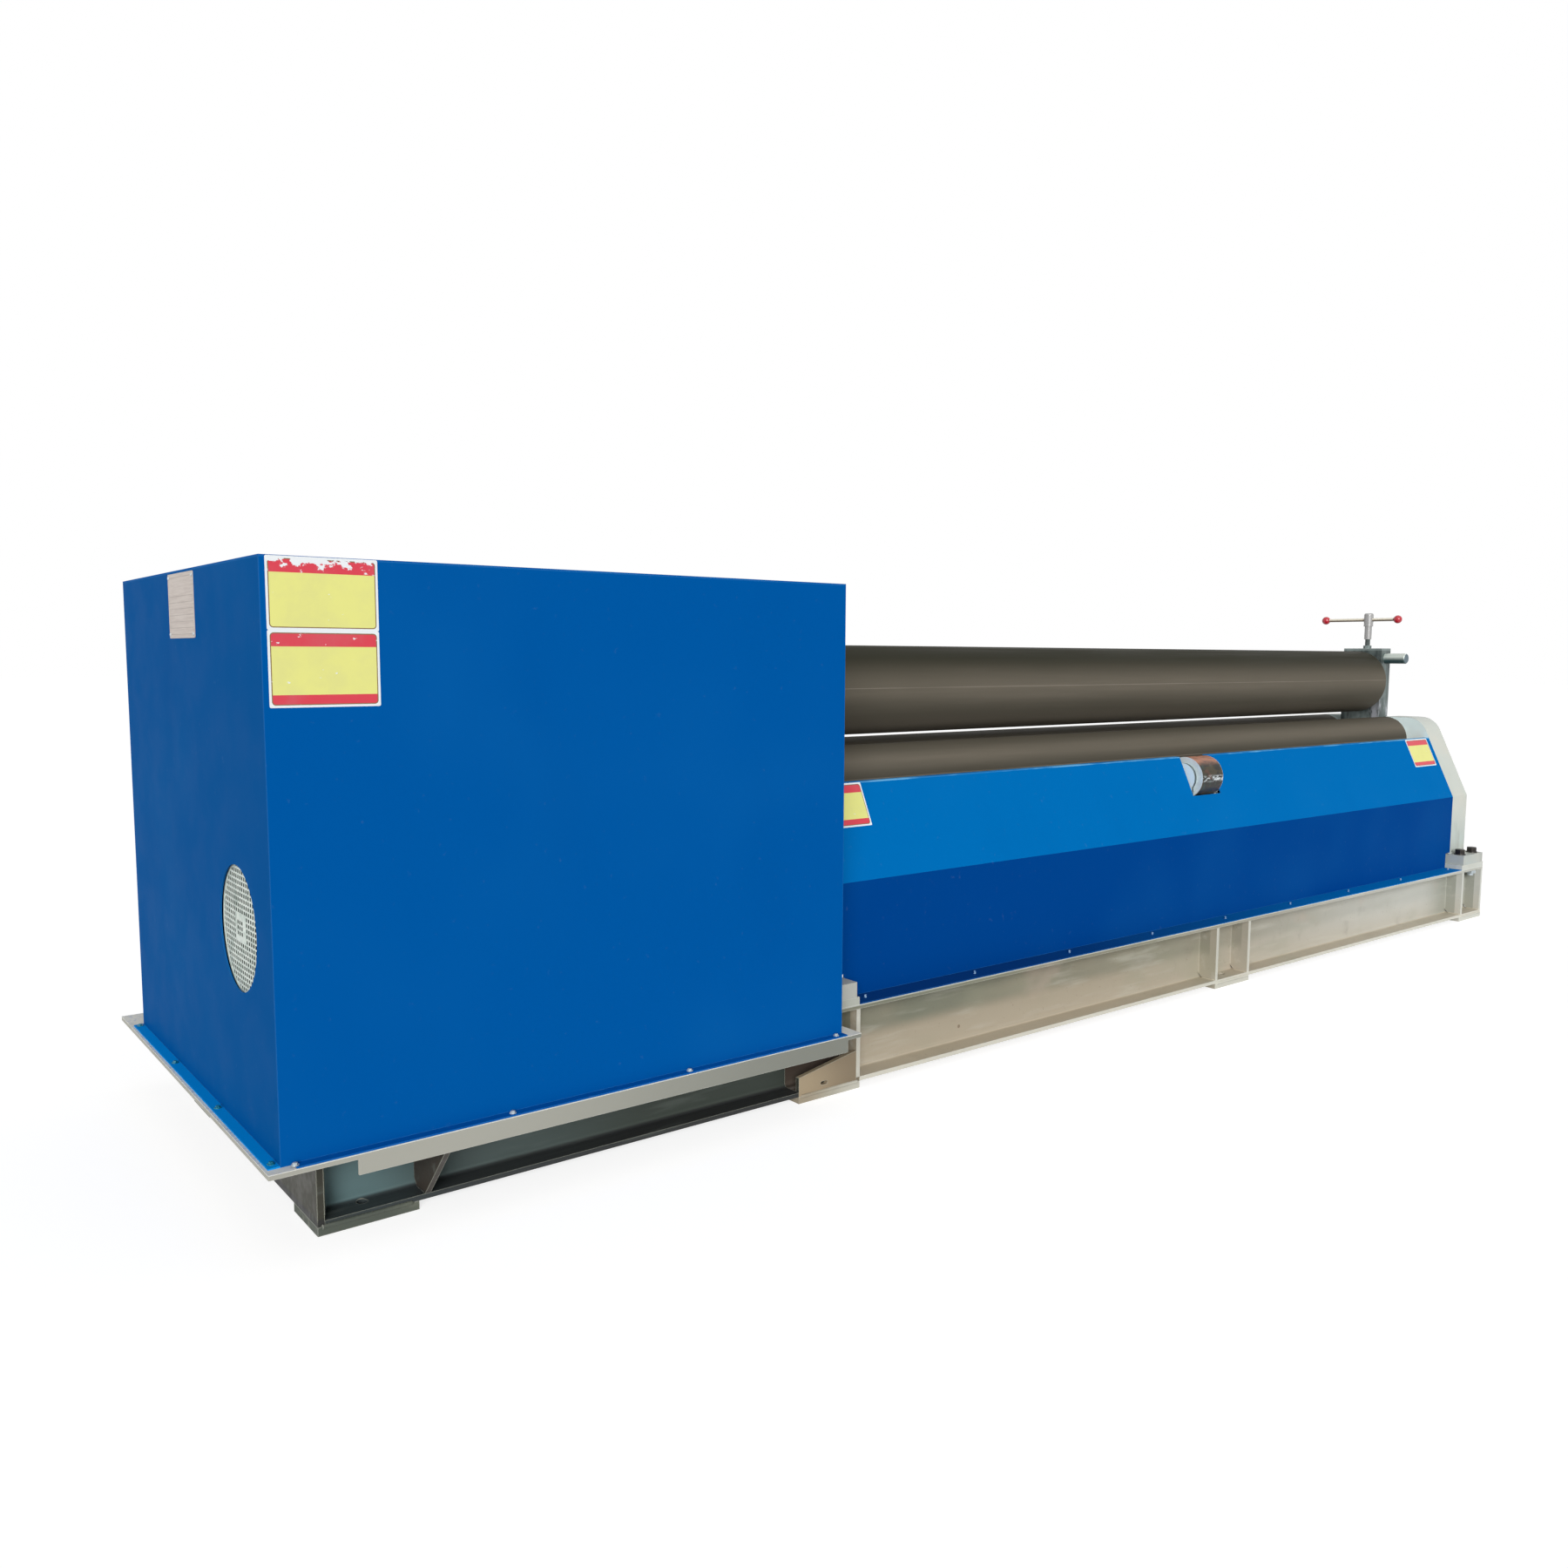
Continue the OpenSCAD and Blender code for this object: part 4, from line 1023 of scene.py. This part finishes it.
class ROLLS_OT_frame_bolts(bpy.types.Operator):
    """Bolts the end frames' feet to the bed, with nuts under the rails' flanges."""

    bl_idname = "rolls.frame_bolts"
    bl_label = "Frame Bolts"
    bl_options = {"REGISTER", "UNDO"}

    def execute(self, context):
        sizes = context.scene.roll_fixings
        rng = random.Random(7)
        corner, side = sizes.bolt_flats / math.sqrt(3), sizes.bolt_spread
        reach = BED_HALF - sizes.bolt_inset
        washer, nut, tail = 4 * MM, 19 * MM, 10 * MM
        heads, nuts = bmesh.new(), bmesh.new()
        for x in (RIGHT_FRAME.x - side, RIGHT_FRAME.x + side, LEFT_FRAME.x - side):
            for y in (-reach, reach):
                spin = rng.random() * TURN
                seat, under = Vector((x, y, FOOT_TOP)), Vector((x, y, RAIL_TOP - TOE))
                add_prism(heads, 32, corner * 1.06, washer, seat, Z, 0.8 * MM)
                add_prism(heads, 6, corner, sizes.bolt_head - washer, seat + Z * washer, Z, 2 * MM, spin)
                add_prism(nuts, 6, corner, nut, under, -Z, 2 * MM, spin)
                add_prism(nuts, 24, 12 * MM, tail, under - Z * nut, -Z, 1.5 * MM)
        add_piece("frame_bolts", heads, blacked_steel())
        add_piece("frame_nuts", nuts, bpy.data.materials["screw_zinc"])
        return {"FINISHED"}


class ROLLS_OT_fan_cover(bpy.types.Operator):
    """Makes the motor's pressed fan cover, slotted all over its face around a plain boss."""

    bl_idname = "rolls.fan_cover"
    bl_label = "Fan Cover"
    bl_options = {"REGISTER", "UNDO"}

    def execute(self, context):
        sizes = context.scene.roll_labels
        face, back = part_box("motor_fan_cover")
        centre, radius = (face + back) / 2, (back.z - face.z) / 2
        bm = bmesh.new()
        self.add_grille(bm, (sizes.slot_pitch, sizes.row_pitch), radius)
        self.add_rim(bm, radius, back.x - face.x)
        turn = Matrix.Rotation(-math.pi / 2, 4, "Y") @ Matrix.Rotation(math.pi / 2, 4, "Z")
        place = Matrix.Translation((face.x, centre.y, centre.z))
        bmesh.ops.transform(bm, matrix=place @ turn, verts=bm.verts)
        cover = add_piece("fan_cover", bm, galvanised())
        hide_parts("motor_fan_cover")
        return {"FINISHED"}

    def add_grille(self, bm, pitches, radius):
        """Adds the slotted disc, face up, its rows along X. Along each axis, bars and slots take turns."""
        bar, rise, boss_rise = 3.6 * MM, 3 * MM, 1.2 * MM
        counts = [2 * math.ceil(radius / pitch) + 1 for pitch in pitches]
        lines = [2 * count + 1 for count in counts]
        bmesh.ops.create_grid(bm, x_segments=lines[0], y_segments=lines[1], size=0.5)
        for vert in bm.verts:
            for i, pitch in enumerate(pitches):
                step = round((vert.co[i] + 0.5) * lines[i])
                vert.co[i] = (step // 2) * pitch + (step % 2) * bar - (counts[i] * pitch + bar) / 2

        def within(place, columns, rows):
            return abs(place.x) < columns * pitches[0] and abs(place.y) < rows * pitches[1]

        gone = []
        for cell in bm.faces:
            place = cell.calc_center_median()
            across, up = (max(v.co[i] for v in cell.verts) - min(v.co[i] for v in cell.verts) for i in (0, 1))
            is_slot = across > 6 * MM and up > 5 * MM
            on_boss = within(place, 2.4, 2.5) and not within(place, 1.6, 1.6)
            if place.xy.length > radius - 4 * MM or (is_slot and not on_boss):
                gone.append(cell)
        bmesh.ops.delete(bm, geom=gone, context="FACES")
        for vert in bm.verts:
            vert.co.z = rise * (1 - (vert.co.xy.length / radius) ** 2)
            if within(vert.co, 2.4, 2.5):
                vert.co.z += boss_rise
        bmesh.ops.solidify(bm, geom=bm.faces[:], thickness=0.8 * MM)

    def add_rim(self, bm, radius, depth):
        """Adds the turned-over edge and the side wall, as one section spun around Z."""
        curl, lip, wall = 4 * MM, 9 * MM, 1.5 * MM
        section = [(radius - lip, wall), (radius - curl, wall)]
        for i in range(1, 5):
            angle = i / 5 * math.pi / 2
            section.append((radius - curl + curl * math.sin(angle), wall - curl * (1 - math.cos(angle))))
        section += [(radius, wall - curl), (radius, MM - depth), (radius - wall, MM - depth)]
        section += [(radius - wall, wall - curl), (radius - lip, -0.5 * MM)]
        verts = [bm.verts.new((out, 0, height)) for out, height in section]
        edges = [bm.edges.new((verts[i - 1], verts[i])) for i in range(len(verts))]
        bmesh.ops.spin(
            bm, geom=verts + edges, cent=(0, 0, 0), axis=Z, angle=TURN, steps=96,
            use_merge=True, use_duplicate=False,
        )


class ROLLS_OT_labels(bpy.types.Operator):
    """Sticks the blank labels on the housing and the cover, and rivets the blank nameplate on."""

    bl_idname = "rolls.labels"
    bl_label = "Labels"
    bl_options = {"REGISTER", "UNDO"}

    def execute(self, context):
        sizes = context.scene.roll_labels
        left = HOUSE_LOW.x + 10 * MM + sizes.width / 2
        top = HOUSE_HIGH.z - 1 * MM
        head = 23 * MM
        labels = (("upper_label", sizes.upper, 0.0, 1.0), ("lower_label", sizes.lower, 17 * MM, 0.25))
        for name, height, foot, scuffed in labels:
            centre = Vector((left, HOUSE_LOW.y, top - height / 2))
            material = label_print(name, centre, sizes.width / 2, height / 2, head, foot, scuffed)
            add_sheet(name, centre, -Y, Z, (sizes.width, height), material)
            top -= height
        self.add_cover_labels(sizes.slope_width, sizes.slope_height)
        self.add_nameplate(sizes.plate_width, sizes.plate_height)
        return {"FINISHED"}

    def add_cover_labels(self, width, height):
        """Adds a label at each end of the working side's slope."""
        fold, edge = slope_places()
        up = (edge - fold).normalized()
        out = Vector((0, -up.z, up.y))
        down = edge - up * (2 * MM + height / 2)
        head, foot, scuffed = 20 * MM, 14 * MM, -0.3
        places = (("left_cover_label", COVER_LOW.x + 94 * MM), ("right_cover_label", COVER_HIGH.x - 122 * MM))
        for name, x in places:
            centre = Vector((x, down.y, down.z))
            material = label_print(name, centre, width / 2, height * up.z / 2, head, foot, scuffed)
            add_sheet(name, centre, out, up, (width, height), material)

    def add_nameplate(self, width, height):
        """Adds the nameplate on the end wall, and its four rivets."""
        half = Vector((0, width / 2, height / 2))
        centre = Vector((HOUSE_LOW.x, -8 * MM, HOUSE_HIGH.z - 6 * MM - half.z))
        metal = nameplate_metal(centre, half.y, half.z)
        add_sheet("nameplate", centre, -X, Z, (width, height), metal, corner=4 * MM, thickness=1.2 * MM)
        inset = 8 * MM
        bm = bmesh.new()
        for side in (-1, 1):
            for rise in (-1, 1):
                corner = Vector((-1.3 * MM, side * (half.y - inset), rise * (half.z - inset)))
                add_prism(bm, 20, 3.5 * MM, 2 * MM, centre + corner, -X, 1 * MM)
        add_piece("nameplate_rivets", bm, bpy.data.materials["screw_zinc"])


class ROLLS_OT_welds(bpy.types.Operator):
    """Lays the weld beads of the bed, the deck and the end frames."""

    bl_idname = "rolls.welds"
    bl_label = "Welds"
    bl_options = {"REGISTER", "UNDO"}

    def execute(self, context):
        self.rng = random.Random(11)
        self.middle_foot = (LEFT_FRAME.x + RIGHT_FRAME.x) / 2
        bed, frames = bmesh.new(), bmesh.new()
        self.weld_feet(bed, context.scene.roll_fixings.bead)
        self.weld_stiffeners(bed)
        self.weld_deck(bed)
        self.weld_frames(frames)
        materials = bpy.data.materials
        add_piece("bed_welds", bed, materials["bed_primer"], crease=60)
        add_piece("frame_welds", frames, materials["frame_paint"], crease=60)
        return {"FINISHED"}

    def both_sides(self, bm, start, end, radius):
        """A bead on the working side and its mirror image at the rear."""
        for side in (1, -1):
            places = [Vector((p[0], side * p[1], p[2])) for p in (start, end)]
            add_bead(bm, *places, radius, self.rng)

    def weld_feet(self, bm, radius):
        """Beads along the pads' top faces, beside the rails' flanges and below the ribs."""
        half = 94 * MM
        drive = low("foot_pads").x
        spans = [(x - half, x + half) for x in (RIGHT_FRAME.x, self.middle_foot, LEFT_FRAME.x)]
        for start, end in (*spans, (drive + 6 * MM, drive + 2 * half)):
            self.both_sides(bm, (start, -BED_HALF, PAD_TOP), (end, -BED_HALF, PAD_TOP), radius)

    def weld_stiffeners(self, bm):
        """Beads around the plates that close the rails' channels: below, at the web and above."""
        bottom, top = PAD_TOP + TOE, RAIL_TOP - TOE
        web, mouth = 66 * MM - BED_HALF, 5 * MM - BED_HALF
        gap, radius = 14 * MM, 3.5 * MM
        foot, right = self.middle_foot, RIGHT_FRAME.x
        plates = (
            (LEFT_FRAME.x + 100 * MM, 1), (foot - 100 * MM, -1), (foot + 100 * MM, 1),
            (right - 88 * MM, -1), (right - 76 * MM, 1), (right + 85 * MM, -1),
            (foot - 88 * MM, 1), (foot + 88 * MM, -1),
        )
        for plate, side in plates:
            x = plate + side * 0.5 * MM
            self.both_sides(bm, (x, web - gap, bottom), (x, mouth, bottom), radius)
            self.both_sides(bm, (x, web, bottom + gap), (x, web, top - gap), radius)
            self.both_sides(bm, (x, web - gap, top), (x, mouth, top), radius)

    def weld_deck(self, bm):
        """Beads between the deck and its gussets, and up the drive end's corners."""
        front, under = low("deck_plate").y + 10 * MM, HOUSE_FLOOR - 10 * MM
        gusset = low("gusset_plates").x
        for x in (gusset, gusset + 12 * MM):
            self.both_sides(bm, (x, front, under), (x, -BED_HALF, under), 3.5 * MM)
        x, y = low("drive_end_beam").x + 14 * MM, 4 * MM - BED_HALF
        self.both_sides(bm, (x, y, PAD_TOP + TOE + 8 * MM), (x, y, under - 12 * MM), 3 * MM)

    def weld_frames(self, bm):
        """Beads on each end frame's foot: along both faces and across the ends."""
        half_thick, inner_end, radius = 65 * MM, -100 * MM, 6 * MM
        for middle_x in (LEFT_FRAME.x, RIGHT_FRAME.x):
            corners = [(middle_x + side * half_thick, FRAME_FACE, FOOT_TOP) for side in (-1, 1)]
            for corner in corners:
                self.both_sides(bm, corner, (corner[0], inner_end, FOOT_TOP), radius)
            self.both_sides(bm, *corners, radius)


class ROLLS_OT_screw_thread(bpy.types.Operator):
    """Winds the thread on the clamp screw, between its lock nut and its sleeve."""

    bl_idname = "rolls.screw_thread"
    bl_label = "Screw Thread"
    bl_options = {"REGISTER", "UNDO"}

    def execute(self, context):
        centre, nut_top = middle("clamp_screw"), high("lock_nut").z
        root, crest, pitch, steps = 9.8 * MM, 11.1 * MM, 2.5 * MM, 24
        turns = (SLEEVE_FOOT - nut_top - 1 * MM) / pitch
        start = Vector((centre.x, centre.y, nut_top + 0.5 * MM))
        bm = bmesh.new()
        section = ((root, 0), (crest, 0.4 * pitch), (root, 0.8 * pitch))
        verts = [bm.verts.new(start + Vector((out, 0, up))) for out, up in section]
        face = bm.faces.new(verts)
        bmesh.ops.spin(
            bm, geom=[face, *face.edges, *verts], cent=start, axis=Z, dvec=Z * pitch / steps,
            angle=turns * TURN, steps=round(turns * steps), use_merge=False,
        )
        add_piece("clamp_screw_thread", bm, bpy.data.materials["oiled_steel"], "clamp_screw")
        return {"FINISHED"}


class ROLLS_OT_cap_screws(bpy.types.Operator):
    """Sets the socket screws of the lower rolls' bearing caps."""

    bl_idname = "rolls.cap_screws"
    bl_label = "Cap Screws"
    bl_options = {"REGISTER", "UNDO"}

    def execute(self, context):
        cap_low, cap_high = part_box("bearing_caps")
        radius = (cap_high.z - cap_low.z) / 2
        bm = bmesh.new()
        for side in (-1, 1):
            centre = Vector((cap_high.x, side * (cap_high.y - radius), (cap_low.z + cap_high.z) / 2))
            for i in range(4):
                angle = (i + 0.5) * TURN / 4
                out = Vector((0, math.cos(angle), math.sin(angle))) * (radius - 10 * MM)
                add_prism(bm, 24, 5 * MM, 5 * MM, centre + out, X, 0.6 * MM)
        add_piece("cap_screws", bm, bpy.data.materials["blacked_steel"])
        return {"FINISHED"}


class ROLLS_OT_stage(bpy.types.Operator):
    """Sets up the camera, the lamps, the floor and the pale room."""

    bl_idname = "rolls.stage"
    bl_label = "Studio"
    bl_options = {"REGISTER", "UNDO"}

    def execute(self, context):
        studio = context.scene.roll_studio
        self.add_camera(context.scene, studio)
        self.add_lamp("key_lamp", studio.key, azimuth=-38, elevation=18, softness=28)
        self.add_lamp("top_lamp", studio.top, azimuth=20, elevation=80, softness=60)
        self.add_floor()
        self.light_room(context.scene, studio.ambient)
        context.scene.view_settings.view_transform = "Standard"
        return {"FINISHED"}

    def add_camera(self, scene, studio):
        camera = new_object("camera", bpy.data.cameras.new("camera"))
        camera.data.lens, camera.data.sensor_width = studio.lens, 36
        camera.data.clip_end = 200
        aim = Euler((math.pi / 2 - studio.pitch, 0, -studio.azimuth)).to_matrix().to_4x4()
        camera.matrix_world = Matrix.Translation(studio.place) @ aim @ Matrix.Rotation(studio.roll, 4, "Z")
        scene.camera = camera

    def add_lamp(self, name, level, azimuth, elevation, softness):
        """Adds a broad lamp. At level 1 it lights a white face that it looks straight at to white."""
        lamp = bpy.data.lights.new(name, "SUN")
        lamp.energy = math.pi * level
        lamp.angle = math.radians(softness)
        turn = Euler((math.radians(90 - elevation), 0, math.radians(azimuth)))
        new_object(name, lamp).rotation_euler = turn

    def add_floor(self):
        """Adds a broad round floor of pale paper, a little brighter where it is seen."""
        bm = bmesh.new()
        bmesh.ops.create_circle(bm, cap_ends=True, segments=96, radius=60)
        mesh = bpy.data.meshes.new("floor")
        bm.to_mesh(mesh)
        bm.free()
        new_object("floor", mesh)
        shader = new_shader("floor_paper")
        bounce = shader.node("ShaderNodeBsdfDiffuse", values={"Color": (0.8, 0.8, 0.8, 1)})
        paper = shader.node("ShaderNodeBsdfDiffuse", values={"Color": (0.9, 0.9, 0.9, 1)})
        glow = shader.node("ShaderNodeEmission", values={"Strength": 1.52})
        shown = shader.node("ShaderNodeMixShader", values={0: 0.5, 1: paper, 2: glow})
        both = shader.node("ShaderNodeMixShader", values={0: shader.seen(), 1: bounce, 2: shown})
        shader.node("ShaderNodeOutputMaterial", values={"Surface": both})
        mesh.materials.append(shader.owner)

    def light_room(self, scene, ambient):
        """Lights the room, most of all from low down. Where it is seen it is white."""
        scene.world = bpy.data.worlds.new("pale_room")
        shader = Shader(scene.world, "Generated")
        seen = shader.seen()
        lit = shader.axes()[2].between(0.0, 0.9, ambient, 0.25 * ambient)
        values = {"Color": (1, 1, 1, 1), "Strength": seen + (1 - seen) * lit}
        room = shader.node("ShaderNodeBackground", values=values)
        shader.node("ShaderNodeOutputWorld", values={"Surface": room})


class ROLLS_PT_panel(bpy.types.Panel):
    """Lists the machine's settings and the operators that build it."""

    bl_idname = "ROLLS_PT_panel"
    bl_label = "Plate Rolls"
    bl_space_type = "VIEW_3D"
    bl_region_type = "UI"
    bl_category = "Rolls"

    def draw(self, context):
        for name, group in SETTINGS.items():
            box = self.layout.box()
            for setting in group.__annotations__:
                box.prop(getattr(context.scene, name), setting)
        for operator in OPERATORS:
            self.layout.operator(operator.bl_idname)


OPERATORS = (
    ROLLS_OT_stage,
    ROLLS_OT_finishes,
    ROLLS_OT_housing_screws,
    ROLLS_OT_cover_screws,
    ROLLS_OT_frame_bolts,
    ROLLS_OT_fan_cover,
    ROLLS_OT_labels,
    ROLLS_OT_welds,
    ROLLS_OT_screw_thread,
    ROLLS_OT_cap_screws,
)


def register():
    for group in (*SETTINGS.values(), *OPERATORS, ROLLS_PT_panel):
        bpy.utils.register_class(group)
    for name, group in SETTINGS.items():
        setattr(bpy.types.Scene, name, PointerProperty(type=group))


def unregister():
    for name in SETTINGS:
        delattr(bpy.types.Scene, name)
    for group in reversed((*SETTINGS.values(), *OPERATORS, ROLLS_PT_panel)):
        bpy.utils.unregister_class(group)


def main():
    register()
    for operator in OPERATORS:
        group, name = operator.bl_idname.split(".")
        getattr(getattr(bpy.ops, group), name)()


if __name__ == "__main__":
    main()
